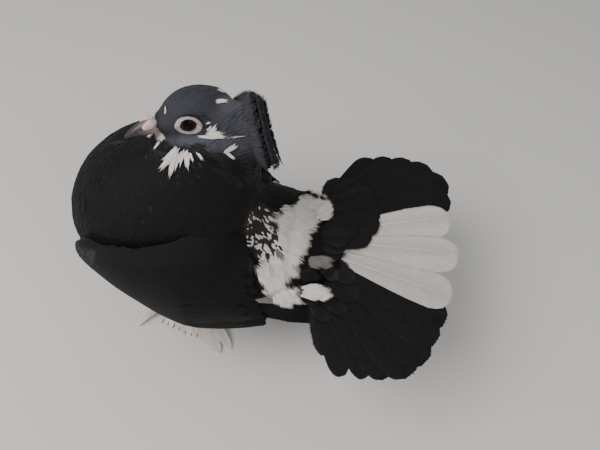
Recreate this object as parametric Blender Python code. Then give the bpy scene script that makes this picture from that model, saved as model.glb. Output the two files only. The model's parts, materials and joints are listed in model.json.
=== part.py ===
"""A life-size fantail pigeon that stands with its tail spread, as a still museum model.

The bird looks towards -X, its tail points to +X and its left side is towards -Y. Sizes and
places are in millimetres from the floor under the bird's heart, and place() turns them to
metres round the floor point under the middle of its length. The left wing, leg and foot are
built, and the right ones are their mirror images. Where a table gives a height, it is from
the floor.
"""

import math
import random

import bmesh
import bpy
import numpy as np
from mathutils import Matrix

MM = 0.001
GAP = 0.3
BOX_MIDDLE = (40.5, -2.9, 0.0)
SEED = 7

# Body: each station is a flat ring from a point of the back to a point of the breast or belly,
# as back x, back z, front x, front z and half width.
BODY_STATIONS = (
    (52, 107, 52, 71, 42),
    (44, 112, 38, 58, 44),
    (38, 117, 8, 46, 47),
    (35, 122, -28, 43, 50),
    (35, 127, -60, 58, 51),
    (36, 133, -79, 84, 51),
    (37, 141, -83, 112, 50),
    (37, 151, -73, 138, 44),
    (36, 160, -52, 157, 33),
    (32, 169, -28, 170, 22),
    (24, 178, -14, 180, 13),
)
BODY_STEPS = 2
BODY_SIDES = 28
NECK_STATION = 6
ROUNDNESS = 0.93

# Head, in its own frame with -x to the bill: x, half width, top and bottom of each section.
HEAD_AT = (-0.5, 3.5, 188.0)
HEAD_TURN = 28.0
HEAD_NOD = -4.0
HEAD_STATIONS = (
    (-20.3, 4.8, 0.8, -7.6),
    (-17, 7.6, 3.0, -9.4),
    (-11.5, 10.6, 8.0, -11.5),
    (-4.5, 12.6, 11.6, -14.0),
    (3, 13.4, 12.2, -16.5),
    (10.5, 13.2, 10.2, -18.0),
    (17.5, 11.8, 6.0, -17.5),
    (24, 8.0, -1.5, -13.0),
)
HEAD_SIDES = 24

EYE_AT = (-3.4, 7.2, 0.3)
EYE_RADIUS = 6.0
EYE_FORWARD = 8.0
LID_RING = 5.4
LID_THICK = 1.3
LID_OUT = 5.0

BILL_BASE = -20.7
BILL_LENGTH = 15.6
BILL_HALF_WIDTH = 4.0
BILL_TOP = 0.2
BILL_MOUTH = -4.9
LOWER_BILL_DEPTH = 2.7
LOWER_BILL_SHARE = 0.9
HOOK = 1.2
MOUTH_LINE = 0.7
MOUTH_CORNER = (-13.6, -2.4)
CERE_SIZE = (4.3, 2.5, 2.7)
CERE_AT = (-22.5, 2.5, 0.1)
NOSTRIL_AT = (-26.6, 2.7, -1.9)
NOSTRIL_SIZE = (1.6, 0.8, 0.45)

# The hood of nape feathers behind the head, and the shell crest that it carries.
HOOD_AT = (24.0, 2.0, 173.0)
HOOD_SIZE = (18.5, 18.5, 25.0)
HOOD_TURN = 16.0
CREST_ARC = 102.0
# Each tier of the crest: feathers, root and tip as the offset back and the ring's half sizes.
CREST_TIERS = (
    (11, (1.0, 14.0, 18.0), (6.0, 21.5, 27.0), 5.0),
    (9, (7.0, 12.0, 14.5), (12.0, 18.5, 22.5), 4.6),
)
CREST_SWEEP = 5.0

# A feather as a thin plate: half its thickness at the edge, and the shaft's ridge on top of that.
VANE_HALF = 0.28
SHAFT_RIDGE = 0.3
LAYER = 0.9
# Outlines as (share of the length, share of the half width), from root to tip.
WHITE_OUTLINE = ((0, 0.15), (0.22, 0.4), (0.55, 0.75), (0.86, 1.0), (1.0, 0.45))
BLACK_OUTLINE = ((0, 0.15), (0.3, 0.42), (0.84, 1.0), (1.0, 0.48))
FLIGHT_OUTLINE = ((0, 0.5), (0.4, 1.0), (0.86, 0.95), (1.0, 0.45))
COVERT_OUTLINE = ((0, 0.5), (0.4, 0.95), (0.78, 1.0), (1.0, 0.5))

# Tail: the centre that its feathers spread from, its slant to the right side, and the feathers
# as angle from the middle line, reach from that centre, far half width and near half width.
TAIL_ROOT = (46.0, 0.0, 88.0)
TAIL_FACE = 52.0
TAIL_SLANT = 0.06
RECTRIX_MIDDLE = (2.5, 118, 11.5, 15.7)
RECTRICES_RIGHT = (
    (16.5, 117, 10.6, 15.0),
    (24, 123, 13, 13),
    (30, 128, 13, 13),
    (36, 124, 13, 13),
    (41, 116, 12, 13),
    (46, 106, 11, 12),
    (51, 96, 11, 11),
)
RECTRICES_LEFT = (
    (-13.5, 116, 15, 13.0),
    (-22, 117, 13, 13),
    (-29, 118, 13, 13),
    (-36, 120, 13, 13),
    (-42, 119, 13, 13),
    (-48, 111, 12, 12),
    (-53, 103, 11, 11),
    (-58, 98, 10, 10),
)
QUILL_ARC = (4.0, 12.0)
# Tiers of coverts over the tail: feathers, half spread, root and tip reach, half width and lift.
TAIL_COVERTS = (
    (8, 56.0, 14.0, 56.0, 8.6, 3.0),
    (6, 56.0, 8.0, 42.0, 9.0, 6.0),
)
RUMP_STATIONS = (
    (52, 42, 107, 71),
    (60, 42, 103, 74),
    (69, 37, 97.5, 78),
    (78, 27, 93, 82),
    (86, 13, 90, 85.5),
)

# Wing: sections at x, each with the top, the widest and the lower point of its outer face.
WING_STATIONS = (
    (-70, -37, 108, -39, 101, -37, 94),
    (-60, -43.5, 120, -46, 102, -41, 85),
    (-40, -50, 125, -55, 99, -48, 73),
    (-15, -51.5, 130, -60, 96, -55, 62),
    (8, -45, 133, -61, 93, -57, 57),
    (28, -36, 121, -58, 90, -56, 60),
    (44, -38, 102, -55, 84, -54, 64),
    (62, -42, 90, -51, 79, -50, 64),
    (90, -42, 82, -47, 75, -47, 64),
    (125, -40, 78, -43, 72, -43, 64),
)
WING_CORE_END = 6
WING_DEPTH = 15.0
# The core's depth under the outer face, as (x, depth). Towards the wing's top edge the depths of
# the core and of the feathers shrink to this share of themselves.
WING_CORE_SINK = ((-70, 0.0), (-58, 0.8), (-44, 3.0), (-22, 4.6), (0, 7.2), (44, 7.6))
WING_HEM = 0.2
HEM_SHARE = 0.4
SECONDARIES = 7
SECONDARY_ROWS = (0.09, 0.95)
SECONDARY_ROOT = -16.0
SECONDARY_TIPS = (27.5, 47.0)
FLIGHT_DEPTH = 6.0
PRIMARY_TIPS = (74, 87, 98, 108, 115, 120)
PRIMARY_ROOT = 28.0
PRIMARY_ROWS = (0.60, 0.86)
PRIMARY_HALF_WIDTH = 5.6
PRIMARY_DEPTH = 9.6
PRIMARY_PITCH = 4.0
# Tiers of wing coverts: feathers, first and last row, root x, tip x and depth.
WING_COVERTS = (
    (6, 0.12, 0.92, -42.0, 5.0, 3.6),
    (5, 0.14, 0.9, -60.0, -21.0, 1.2),
)
VANE_OVERLAP = 0.62

LEG_AT = (-8.0, -20.0)
LEG_TOP = 58.0
LEG_SIDES = 14
ANKLE = 9.0
MIDDLE_TOE = 31.0
SIDE_TOE = 24.0
HIND_TOE = 15.0
SIDE_TOE_ANGLE = 38.0
# Slipper feathers: x of the root along the middle toe, tip x, tip y and half width.
SLIPPERS = (
    (-41, -53, -35, 3.0),
    (-33, -39, -38, 3.4),
    (-27, -29, -40, 3.6),
    (-21, -20, -42, 3.8),
    (-15, -10, -43, 4.0),
    (-10, 1, -45, 4.2),
    (-6, 12, -48, 4.6),
    (-3, 19, -42, 4.6),
)


def place(points):
    """Millimetres from the floor under the heart, as metres from the model's origin."""
    return (np.asarray(points, float) - np.array(BOX_MIDDLE)) * MM


def smooth_rows(rows, steps):
    """Rows of numbers carried along a smooth curve, with this many steps from each to the next."""
    rows = np.array(rows, float)
    ends = np.vstack([2 * rows[0] - rows[1], rows, 2 * rows[-1] - rows[-2]])
    out = []
    for a, b, c, d in zip(ends, ends[1:], ends[2:], ends[3:]):
        for k in range(steps):
            t = k / steps
            out.append(
                b
                + 0.5 * t * (c - a)
                + 0.5 * t**2 * (2 * a - 5 * b + 4 * c - d)
                + 0.5 * t**3 * (3 * b - a - 3 * c + d)
            )
    out.append(rows[-1])
    return np.array(out)


def rounded(value):
    return math.copysign(abs(value) ** ROUNDNESS, value)


def material(name, colour, roughness):
    made = bpy.data.materials.get(name)
    if made is None:
        made = bpy.data.materials.new(name)
        made.use_nodes = True
        shader = made.node_tree.nodes["Principled BSDF"]
        shader.inputs["Base Color"].default_value = (*colour, 1)
        shader.inputs["Roughness"].default_value = roughness
        shader.inputs["Metallic"].default_value = 0.0
    return made


BLACK = ("black_feather", (0.012, 0.012, 0.014), 0.6)
SLATE = ("slate_feather", (0.06, 0.065, 0.08), 0.65)
WHITE = ("white_feather", (0.72, 0.69, 0.66), 0.7)
HORN = ("bill_horn", (0.16, 0.13, 0.12), 0.35)
WAX = ("cere_skin", (0.8, 0.62, 0.6), 0.55)
EYE = ("eye_cornea", (0.03, 0.012, 0.008), 0.08)
TOE = ("toe_skin", (0.45, 0.16, 0.14), 0.5)


def solid(name, vertices, faces, finish):
    """A closed mesh object from points in millimetres."""
    mesh = bpy.data.meshes.new(name)
    mesh.from_pydata([tuple(v) for v in place(vertices)], [], faces)
    form = bmesh.new()
    form.from_mesh(mesh)
    bmesh.ops.recalc_face_normals(form, faces=form.faces)
    form.to_mesh(mesh)
    form.free()
    mesh.materials.append(material(*finish))
    made = bpy.data.objects.new(name, mesh)
    bpy.context.scene.collection.objects.link(made)
    return made


def loft(name, rings, finish):
    """A closed skin over rings of equally many points, with a flat cap at each end."""
    sides = len(rings[0])
    faces = [list(range(sides)), [(len(rings) - 1) * sides + k for k in range(sides)]]
    for i in range(len(rings) - 1):
        for k in range(sides):
            a, b = i * sides + k, i * sides + (k + 1) % sides
            faces.append([a, b, b + sides, a + sides])
    return solid(name, np.concatenate(rings), faces, finish)


def ellipsoid(name, centre, size, finish, turn=None, rings=8, sides=14):
    """A ball stretched to the three half sizes, turned by a matrix."""
    turn = np.eye(3) if turn is None else turn
    centre = np.array(centre, float)
    points = [[0, 0, size[2]]]
    for i in range(1, rings):
        a = math.pi * i / rings
        for k in range(sides):
            b = 2 * math.pi * k / sides
            points.append(
                [
                    size[0] * math.sin(a) * math.cos(b),
                    size[1] * math.sin(a) * math.sin(b),
                    size[2] * math.cos(a),
                ]
            )
    points.append([0, 0, -size[2]])
    last = len(points) - 1
    faces = []
    for k in range(sides):
        n = (k + 1) % sides
        faces.append([0, 1 + k, 1 + n])
        faces.append([last, last - sides + n, last - sides + k])
        for i in range(rings - 2):
            a = 1 + i * sides
            faces.append([a + k, a + sides + k, a + sides + n, a + n])
    return solid(name, centre + np.array(points) @ turn.T, faces, finish)


def vane(left, middle, right, finish, turned=False):
    """A feather as a thin closed plate, from its left edge, shaft and right edge.

    Both faces are split into triangles along the same diagonals, so they never cross.
    """
    left, middle, right = (np.asarray(side, float) for side in (left, middle, right))
    along = np.gradient(middle, axis=0)
    normal = np.cross(along, right - left)
    normal /= np.linalg.norm(normal, axis=1)[:, None]
    if turned:
        normal = -normal
    half, ridge = normal * VANE_HALF, normal * (VANE_HALF + SHAFT_RIDGE)
    ridge[-1] = half[-1]
    rings = np.stack(
        [left + half, middle + ridge, right + half, right - half, middle - half, left - half], axis=1
    )
    count = len(rings)
    faces = [[0, 1, 4, 5], [1, 2, 3, 4]]
    faces += [[6 * (count - 1) + k for k in face] for face in faces]
    for i in range(count - 1):
        here, there = 6 * i, 6 * (i + 1)
        for p, q in ((0, 1), (1, 2), (5, 4), (4, 3), (2, 3), (5, 0)):
            faces.append([here + p, here + q, there + q])
            faces.append([here + p, there + q, there + p])
    return solid("vane", rings.reshape(-1, 3), faces, finish)


def settle(subject):
    """Applies the object's modifiers, and keeps the largest closed surface of the result."""
    graph = bpy.context.evaluated_depsgraph_get()
    mesh = bpy.data.meshes.new_from_object(subject.evaluated_get(graph))
    subject.modifiers.clear()
    form = bmesh.new()
    form.from_mesh(mesh)
    left = set(form.faces)
    shells = []
    while left:
        shell, front = set(), [left.pop()]
        while front:
            face = front.pop()
            shell.add(face)
            for edge in face.edges:
                for other in edge.link_faces:
                    if other in left:
                        left.discard(other)
                        front.append(other)
        shells.append(shell)
    shells.sort(key=lambda shell: sum(face.calc_area() for face in shell))
    spare = [face for shell in shells[:-1] for face in shell]
    bmesh.ops.delete(form, geom=spare, context="FACES")
    form.to_mesh(mesh)
    form.free()
    old, subject.data = subject.data, mesh
    mesh.name = old.name
    bpy.data.meshes.remove(old)
    return subject


def combine(subject, others, operation):
    """Joins or cuts the subject with closed objects, which are then removed."""
    group = bpy.data.collections.new("pieces")
    bpy.context.scene.collection.children.link(group)
    for other in others:
        bpy.context.scene.collection.objects.unlink(other)
        group.objects.link(other)
    step = subject.modifiers.new("join", "BOOLEAN")
    step.operation = operation
    step.solver = "MANIFOLD"
    step.operand_type = "COLLECTION"
    step.collection = group
    bpy.context.view_layer.update()
    settle(subject)
    for other in others:
        mesh = other.data
        bpy.data.objects.remove(other)
        bpy.data.meshes.remove(mesh)
    bpy.data.collections.remove(group)
    return subject


def fuse(subject, others):
    return combine(subject, others, "UNION")


def carve(subject, others):
    return combine(subject, others, "DIFFERENCE")


def body_rings(first, last, grow=0.0):
    """Rings of the body from one station to another, swollen all round by grow."""
    rows = smooth_rows(BODY_STATIONS, BODY_STEPS)[first * BODY_STEPS : last * BODY_STEPS + 1]
    rings = []
    for back_x, back_z, front_x, front_z, half_width in rows:
        back = np.array([back_x, 0, back_z])
        front = np.array([front_x, 0, front_z])
        middle, half = (back + front) / 2, (front - back) / 2
        depth = np.linalg.norm(half)
        ring = []
        for k in range(BODY_SIDES):
            a = 2 * math.pi * k / BODY_SIDES
            out = half / depth * (depth + grow) * rounded(math.sin(a))
            ring.append(middle + out + np.array([0, (half_width + grow) * rounded(math.cos(a)), 0]))
        rings.append(np.array(ring))
    return rings


def ring_normal(ring):
    """The flat ring's unit normal, on the side towards the head."""
    across = ring[0] - ring[len(ring) // 2]
    along = ring[len(ring) // 4] - ring[3 * len(ring) // 4]
    normal = np.cross(across, along)
    return normal / np.linalg.norm(normal)


def head_matrix():
    """The turn from the head's own frame to the bird's."""
    turn = Matrix.Rotation(math.radians(HEAD_TURN), 3, "Z")
    nod = Matrix.Rotation(math.radians(HEAD_NOD), 3, "Y")
    return np.array(turn @ nod)


def from_head(points):
    return np.asarray(points, float) @ head_matrix().T + np.array(HEAD_AT)


def head_rings(grow=0.0):
    rows = smooth_rows(HEAD_STATIONS, 2)
    rings = []
    for n, (x, half_width, top, bottom) in enumerate(rows):
        end = -grow if n == 0 else grow if n == len(rows) - 1 else 0
        middle, half = (top + bottom) / 2, (top - bottom) / 2
        ring = []
        for k in range(HEAD_SIDES):
            a = 2 * math.pi * k / HEAD_SIDES
            ring.append(
                [
                    x + end,
                    (half_width + grow) * rounded(math.cos(a)),
                    middle + (half + grow) * rounded(math.sin(a)),
                ]
            )
        rings.append(from_head(ring))
    return rings


def eye_axis(side):
    """The direction that an eye looks in, in the head's frame; side is -1 on the left."""
    a = math.radians(EYE_FORWARD)
    return np.array([-math.sin(a), side * math.cos(a), 0.0])


def eye_centre(side):
    return np.array([EYE_AT[0], side * EYE_AT[1], EYE_AT[2]])


def lid(side):
    """The bare fleshy ring round one eye."""
    axis = eye_axis(side)
    across = np.cross(axis, [0, 0, 1])
    up = np.cross(across, axis)
    centre = eye_centre(side) + axis * LID_OUT
    rings, around, section = [], 18, 5
    for i in range(around):
        a = 2 * math.pi * i / around
        spoke = across * math.cos(a) + up * math.sin(a)
        ring = []
        for k in range(section):
            b = 2 * math.pi * k / section
            ring.append(
                centre
                + spoke * (LID_RING + LID_THICK * math.cos(b))
                + axis * 0.8 * LID_THICK * math.sin(b)
            )
        rings.append(from_head(ring))
    points = np.concatenate(rings)
    faces = []
    for i in range(around):
        for k in range(section):
            a, b = i * section, (i + 1) % around * section
            n = (k + 1) % section
            faces.append([a + k, a + n, b + n, b + k])
    return solid("lid", points, faces, WAX)


def eyeball(name, side, grow=0.0):
    size = [EYE_RADIUS + grow] * 3
    return ellipsoid(name, from_head(eye_centre(side)), size, EYE, rings=8, sides=14)


def mouth_height(share):
    """The mouth line's height at a share of the upper bill's length, hooked down at the tip."""
    return BILL_MOUTH - 0.8 * share**2 - HOOK * share**8


def mouth_cut():
    """A thin wedge that carries the line of the mouth from the bill into the cheeks."""
    corner_x, corner_z = MOUTH_CORNER
    half = MOUTH_LINE / 2
    outline = (
        (BILL_BASE - 1.5, BILL_MOUTH - half),
        (corner_x, corner_z - half / 2),
        (corner_x, corner_z + half / 2),
        (BILL_BASE - 1.5, BILL_MOUTH + half),
    )
    rings = [from_head([[x, y, z] for x, z in outline]) for y in (-14.0, 14.0)]
    return loft("mouth_cut", rings, HORN)


def mouth_core():
    """The part of the head between the cheeks, which the mouth line doesn't reach."""
    centre = (MOUTH_CORNER[0] + 2.5, 0, BILL_MOUTH)
    return ellipsoid("mouth_core", from_head(centre), (9.5, 8.6, 9.0), SLATE)


def make_head():
    head = loft("head", head_rings(), SLATE)
    fuse(head, [lid(-1), lid(1)])
    line = carve(mouth_cut(), [mouth_core()])
    sockets = [eyeball("socket", side, GAP) for side in (-1, 1)]
    return carve(head, [line, *sockets])


def bill_half(name, upper, grow=0.0):
    """One mandible from the feather line to its tip, swollen all round by grow."""
    rings, steps, sides = [], 7, 12
    reach = 1.0 if upper else LOWER_BILL_SHARE
    tip = mouth_height(1.0) + 0.5
    for i in range(steps + 1):
        s = i / steps
        mouth = mouth_height(s * reach)
        half_width = BILL_HALF_WIDTH * math.sqrt(1 - s**2.4) * (1 - 0.3 * s) + 0.35 * s
        if upper:
            outer = tip + (BILL_TOP - tip) * (1 - s**2.4)
            mouth -= grow
            outer += grow
        else:
            mouth -= GAP
            outer = mouth - 0.4 - (LOWER_BILL_DEPTH - 0.4) * (1 - s**2.6)
        half_width += grow
        ring = []
        for k in range(sides + 1):
            a = math.pi * k / sides
            point = [
                BILL_BASE - BILL_LENGTH * s * reach,
                half_width * math.cos(a),
                mouth + (outer - mouth) * math.sin(a),
            ]
            ring.append(point)
        rings.append(from_head(ring))
    return loft(name, rings, HORN)


def make_bill():
    """Both mandibles, the slits of the nostrils, and the cere's two waxy swellings."""
    upper = bill_half("bill_upper", True)
    nostrils = []
    for side in (-1, 1):
        x, y, z = NOSTRIL_AT
        turn = head_matrix() @ np.array(Matrix.Rotation(math.radians(14 * side), 3, "Z"))
        nostrils.append(ellipsoid("nostril", from_head((x, y * side, z)), NOSTRIL_SIZE, HORN, turn, 6, 10))
    carve(upper, nostrils)
    bill_half("bill_lower", False)
    lobes = []
    for side in (-1, 1):
        centre = from_head((CERE_AT[0], side * CERE_AT[1], CERE_AT[2]))
        turn = head_matrix() @ np.array(Matrix.Rotation(math.radians(-side * 14), 3, "Z"))
        lobes.append(ellipsoid("cere", centre, CERE_SIZE, WAX, turn, 7, 12))
    cere = fuse(lobes[0], lobes[1:])
    carve(cere, [loft("head_room", head_rings(GAP), SLATE), bill_half("bill_room", True, GAP)])


def crest_turn():
    return np.array(Matrix.Rotation(math.radians(HOOD_TURN), 3, "Z"))


def crest_point(a, back, half_y, half_z):
    """A point of the crest: a is 0 over the nape and grows towards the right ear."""
    offset = np.array([back + CREST_SWEEP * (1 - math.cos(a)), half_y * math.sin(a), half_z * math.cos(a)])
    return np.array(HOOD_AT) + crest_turn() @ offset


def make_crest(draw):
    """The hood of nape feathers with the shell crest, feather by feather, from ear to ear."""
    hood = ellipsoid("crest", HOOD_AT, HOOD_SIZE, SLATE, crest_turn(), 9, 16)
    vanes = []
    for count, root_ring, tip_ring, half_width in CREST_TIERS:
        for i in range(count):
            a = math.radians(CREST_ARC * (2 * i / (count - 1) - 1)) + draw.uniform(-0.03, 0.03)
            reach = draw.uniform(0.94, 1.04) - 0.12 * abs(2 * i / (count - 1) - 1) ** 3
            root = crest_point(a, *root_ring)
            tip = root + (crest_point(a, *tip_ring) - root) * reach
            across = crest_turn() @ np.array([0.0, math.cos(a), -math.sin(a)])
            across += crest_turn() @ np.array([0.17, 0.0, 0.0])
            sides = [[], [], []]
            for share, width in COVERT_OUTLINE:
                bow = -1.6 * math.sin(math.pi * share)
                middle = root + (tip - root) * share + crest_turn() @ np.array([bow, 0.0, 0.0])
                for side, edge in zip(sides, (-1, 0, 1)):
                    side.append(middle + across * half_width * width * edge)
            vanes.append(vane(*sides, SLATE))
    fuse(hood, vanes)
    neck_room = loft("neck_room", body_rings(NECK_STATION, len(BODY_STATIONS) - 1, GAP), BLACK)
    return carve(hood, [loft("head_room", head_rings(GAP), SLATE), neck_room])


def fan_orders():
    """The tail feathers' angles with their order outwards from the middle one."""
    pairs = [(RECTRIX_MIDDLE[0], 0)]
    for side in (RECTRICES_RIGHT, RECTRICES_LEFT):
        pairs += [(feather[0], order + 1) for order, feather in enumerate(side)]
    return sorted(pairs)


def fan_height(point, order, lift):
    """The height of a feather of this order at a plan place.

    Neighbours stay one layer apart wherever they overlap, the one nearer the middle on top,
    while each one's shaft lies on the slanted plane of the fan.
    """
    angles, orders = zip(*fan_orders())
    offset = np.array(point[:2]) - np.array(TAIL_ROOT[:2])
    angle = math.degrees(math.atan2(offset[1], offset[0]))
    plane = TAIL_ROOT[2] + TAIL_SLANT * point[1]
    spread = min(1.0, np.linalg.norm(offset) / 40)
    return plane + lift + LAYER * spread * (np.interp(angle, angles, orders) - order)


def fan_vane(angle, start, reach, widths, outline, order, lift, finish):
    """One feather of the fan, from its quill's root to its tip."""
    a = math.radians(angle)
    side = angle / 60
    tip = np.array(TAIL_ROOT[:2]) + reach * np.array([math.cos(a), math.sin(a)])
    root = np.array(TAIL_ROOT[:2]) + np.array([start + QUILL_ARC[0] * abs(side), QUILL_ARC[1] * side])
    along = (tip - root) / np.linalg.norm(tip - root)
    across = np.array([-along[1], along[0]])
    sides = [[], [], []]
    for share, width in outline:
        middle = root + (tip - root) * share
        for edges, offset in zip(sides, (widths[0], 0, -widths[1])):
            plan = middle + across * offset * width
            edges.append([plan[0], plan[1], fan_height(plan, order, lift)])
    return vane(*sides, finish, turned=True)


def make_tail(draw):
    """The rump, the spread tail feathers and the two tiers of coverts over their roots."""
    rings = []
    for x, half_width, top, bottom in smooth_rows(RUMP_STATIONS, 2):
        ring = []
        for k in range(BODY_SIDES):
            a = 2 * math.pi * k / BODY_SIDES
            y = half_width * rounded(math.cos(a))
            z = (top + bottom) / 2 + (top - bottom) / 2 * rounded(math.sin(a))
            ring.append([max(x, TAIL_FACE + GAP), y, z])
        rings.append(np.array(ring))
    tail = loft("tail", rings, WHITE)
    vanes = []
    for angle, order in fan_orders():
        side = RECTRICES_RIGHT if angle > RECTRIX_MIDDLE[0] else RECTRICES_LEFT
        feather = side[order - 1] if order else RECTRIX_MIDDLE
        finish, outline = (WHITE, WHITE_OUTLINE) if order < 2 else (BLACK, BLACK_OUTLINE)
        vanes.append(fan_vane(angle, 12.0, feather[1], feather[2:], outline, order, 0.0, finish))
    for count, spread, start, reach, half_width, lift in TAIL_COVERTS:
        for i in range(count):
            share = 2 * i / (count - 1) - 1
            angle = spread * share + draw.uniform(-1.5, 1.5)
            length = reach * draw.uniform(0.93, 1.05) - 6 * share**2
            order = np.interp(angle, *zip(*fan_orders()))
            widths = (half_width, half_width)
            finish = BLACK if i % 3 else WHITE
            vanes.append(fan_vane(angle, start, length, widths, COVERT_OUTLINE, order, lift, finish))
    return fuse(tail, vanes)


def wing_rows():
    return smooth_rows(WING_STATIONS, 2)


def wing_point(x, v, lift=0.0):
    """A point of the left wing's outer face: v is 0 at its top edge and 1 at its lower edge."""
    rows = wing_rows()
    row = [np.interp(x, rows[:, 0], rows[:, c]) for c in range(1, 7)]
    top, wide, low = (np.array([x, row[c], row[c + 1]]) for c in (0, 2, 4))
    point = top * (2 * v - 1) * (v - 1) + wide * 4 * v * (1 - v) + low * v * (2 * v - 1)
    slope = top * (4 * v - 3) + wide * (4 - 8 * v) + low * (4 * v - 1)
    normal = np.array([0, slope[2], -slope[1]])
    return point + normal / np.linalg.norm(normal) * lift


def wing_depth_at(x):
    """How far the wing's core lies under its outer face."""
    places, sinks = zip(*WING_CORE_SINK)
    return np.interp(x, places, sinks)


def hem(v):
    """The share of their depth that the wing's layers keep at this distance from its top edge."""
    return HEM_SHARE + (1 - HEM_SHARE) * min(1.0, max(0.0, v) / WING_HEM)


def wing_height(x):
    """The length of the wing's outer face from its top edge to its lower edge."""
    rows = wing_rows()
    row = [np.interp(x, rows[:, 0], rows[:, c]) for c in range(1, 7)]
    return math.dist(row[:2], row[2:4]) + math.dist(row[2:4], row[4:])


def wing_vane(root, tip, half_width, depth, pitch, outline):
    """One feather on the wing, with its lower edge raised over the next one below.

    root and tip are x and v on the outer face, depth is how far the shaft lies under that
    face, and pitch is the distance to the next feather of the tier.
    """
    sides = [[], [], []]
    for share, width in outline:
        x = root[0] + (tip[0] - root[0]) * share
        v = root[1] + (tip[1] - root[1]) * share
        height = wing_height(x)
        sink = max(0.0, wing_depth_at(x) + 2.0 - depth) * max(0.0, 1 - share / 0.3) ** 2
        for edges, offset in zip(sides, (-1, 0, 1)):
            down = offset * half_width * width
            lift = LAYER * down / pitch - (depth + sink) * hem(v + down / height)
            edges.append(wing_point(x, v + down / height, lift))
    return vane(*sides, BLACK)


def make_wing(draw):
    """The folded wing: its core, then flight feathers and coverts in tiers like shingles."""
    rings, across = [], 8
    for x in smooth_rows(WING_STATIONS[: WING_CORE_END + 1], 1)[:, 0]:
        shares = [k / (across - 1) for k in range(across)]
        sinks = [wing_depth_at(x) * hem(share) for share in shares]
        outer = [wing_point(x, share, -sink) for share, sink in zip(shares, sinks)]
        inner = [wing_point(x, share, -WING_DEPTH) for share in shares]
        rings.append(np.array(outer + inner[::-1]))
    wing = loft("wing_left", rings, BLACK)
    vanes = []
    for i, tip_x in enumerate(PRIMARY_TIPS):
        share = i / (len(PRIMARY_TIPS) - 1)
        v = PRIMARY_ROWS[0] + (PRIMARY_ROWS[1] - PRIMARY_ROWS[0]) * share
        root, tip = (PRIMARY_ROOT, 0.58 + 0.22 * share), (tip_x, v)
        depth = PRIMARY_DEPTH if i else PRIMARY_DEPTH - 0.2
        vanes.append(wing_vane(root, tip, PRIMARY_HALF_WIDTH, depth, PRIMARY_PITCH, FLIGHT_OUTLINE))
    first, last = SECONDARY_ROWS
    for i in range(SECONDARIES):
        share = i / (SECONDARIES - 1)
        v = first + (last - first) * share
        x = SECONDARY_TIPS[0] + (SECONDARY_TIPS[1] - SECONDARY_TIPS[0]) * math.sqrt(share)
        tip = (x + draw.uniform(-0.8, 0.8), v)
        pitch = wing_height(tip[0]) * (last - first) / (SECONDARIES - 1)
        half_width = VANE_OVERLAP * pitch
        vanes.append(wing_vane((SECONDARY_ROOT, v), tip, half_width, FLIGHT_DEPTH, pitch, FLIGHT_OUTLINE))
    for count, first, last, start, end, depth in WING_COVERTS:
        for i in range(count):
            v = first + (last - first) * i / (count - 1)
            root = (start + draw.uniform(-1, 1), v)
            tip = (end + draw.uniform(-1.5, 1.5), v)
            pitch = wing_height(end) * (last - first) / (count - 1)
            half_width = VANE_OVERLAP * pitch
            vanes.append(wing_vane(root, tip, half_width, depth, pitch, COVERT_OUTLINE))
    fuse(wing, vanes)
    return carve(wing, [loft("body_room", body_rings(0, len(BODY_STATIONS) - 1, GAP), BLACK)])


def mirrored(subject, name):
    """A copy of a left-hand piece for the right-hand side."""
    mesh = subject.data.copy()
    mesh.name = name
    heart = place((0, 0, 0))[1]
    mesh.transform(Matrix.Translation((0, 2 * heart, 0)) @ Matrix.Diagonal((1, -1, 1, 1)))
    mesh.flip_normals()
    made = bpy.data.objects.new(name, mesh)
    bpy.context.scene.collection.objects.link(made)
    return made


def make_leg():
    """The feathered thigh and shank of the left leg."""
    rows = ((ANKLE + GAP, 5.0), (16, 5.6), (28, 7.5), (40, 11), (LEG_TOP, 15))
    rings = []
    for z, radius in smooth_rows(rows, 2):
        lean = 0.04 * (z - ANKLE)
        ring = []
        for k in range(LEG_SIDES):
            a = 2 * math.pi * k / LEG_SIDES
            x = LEG_AT[0] - lean + radius * 1.1 * math.cos(a)
            ring.append([x, LEG_AT[1] + radius * math.sin(a), z])
        rings.append(np.array(ring))
    leg = loft("leg_left", rings, BLACK)
    return carve(leg, [loft("body_room", body_rings(0, NECK_STATION, GAP), BLACK)])


def toe(angle, length, claw):
    """One toe with a flat sole, which ends in a curved claw."""
    direction = np.array([-math.cos(math.radians(angle)), -math.sin(math.radians(angle)), 0])
    across = np.array([-direction[1], direction[0], 0])
    root = np.array([*LEG_AT, 0.0])
    # Rows of distance out, half width, height and the underside's height.
    rows = (
        (-2.0, 2.9, 7.0, 0.0),
        (0.5 * length, 2.6, 5.0, 0.0),
        (0.9 * length, 2.2, 4.4, 0.0),
        (length, 1.4, 3.8, 0.5),
        (length + 0.5 * claw, 0.9, 3.0, 0.9),
        (length + claw, 0.35, 1.2, 0.4),
    )
    rings, sides = [], 6
    for out, half, high, low in rows:
        ring = []
        for k in range(sides):
            a = 2 * math.pi * k / sides
            z = low if math.sin(a) < -0.8 else (high + low) / 2 + (high - low) / 2 * math.sin(a)
            ring.append(root + direction * out + across * half * math.cos(a) + np.array([0, 0, z]))
        rings.append(np.array(ring))
    return loft("toe", rings, TOE)


def slipper(root_x, tip_x, tip_y, half_width):
    """One stiff feather of the foot, from the middle toe outwards and down to the floor."""
    root = np.array([root_x, LEG_AT[1] + 0.5, 3.4])
    tip = np.array([tip_x, tip_y, 1.4])
    along = (tip - root)[:2] / np.linalg.norm((tip - root)[:2])
    across = np.array([-along[1], along[0], 0.0])
    sides = [[], [], []]
    for share, width in COVERT_OUTLINE:
        middle = root + (tip - root) * share + np.array([0, 0, 2.6 * math.sin(math.pi * share)])
        for edges, offset in zip(sides, (1, 0, -1)):
            edges.append(middle + across * offset * half_width * width + np.array([0, 0, -0.12 * offset]))
    return vane(*sides, WHITE, turned=True)


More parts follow.
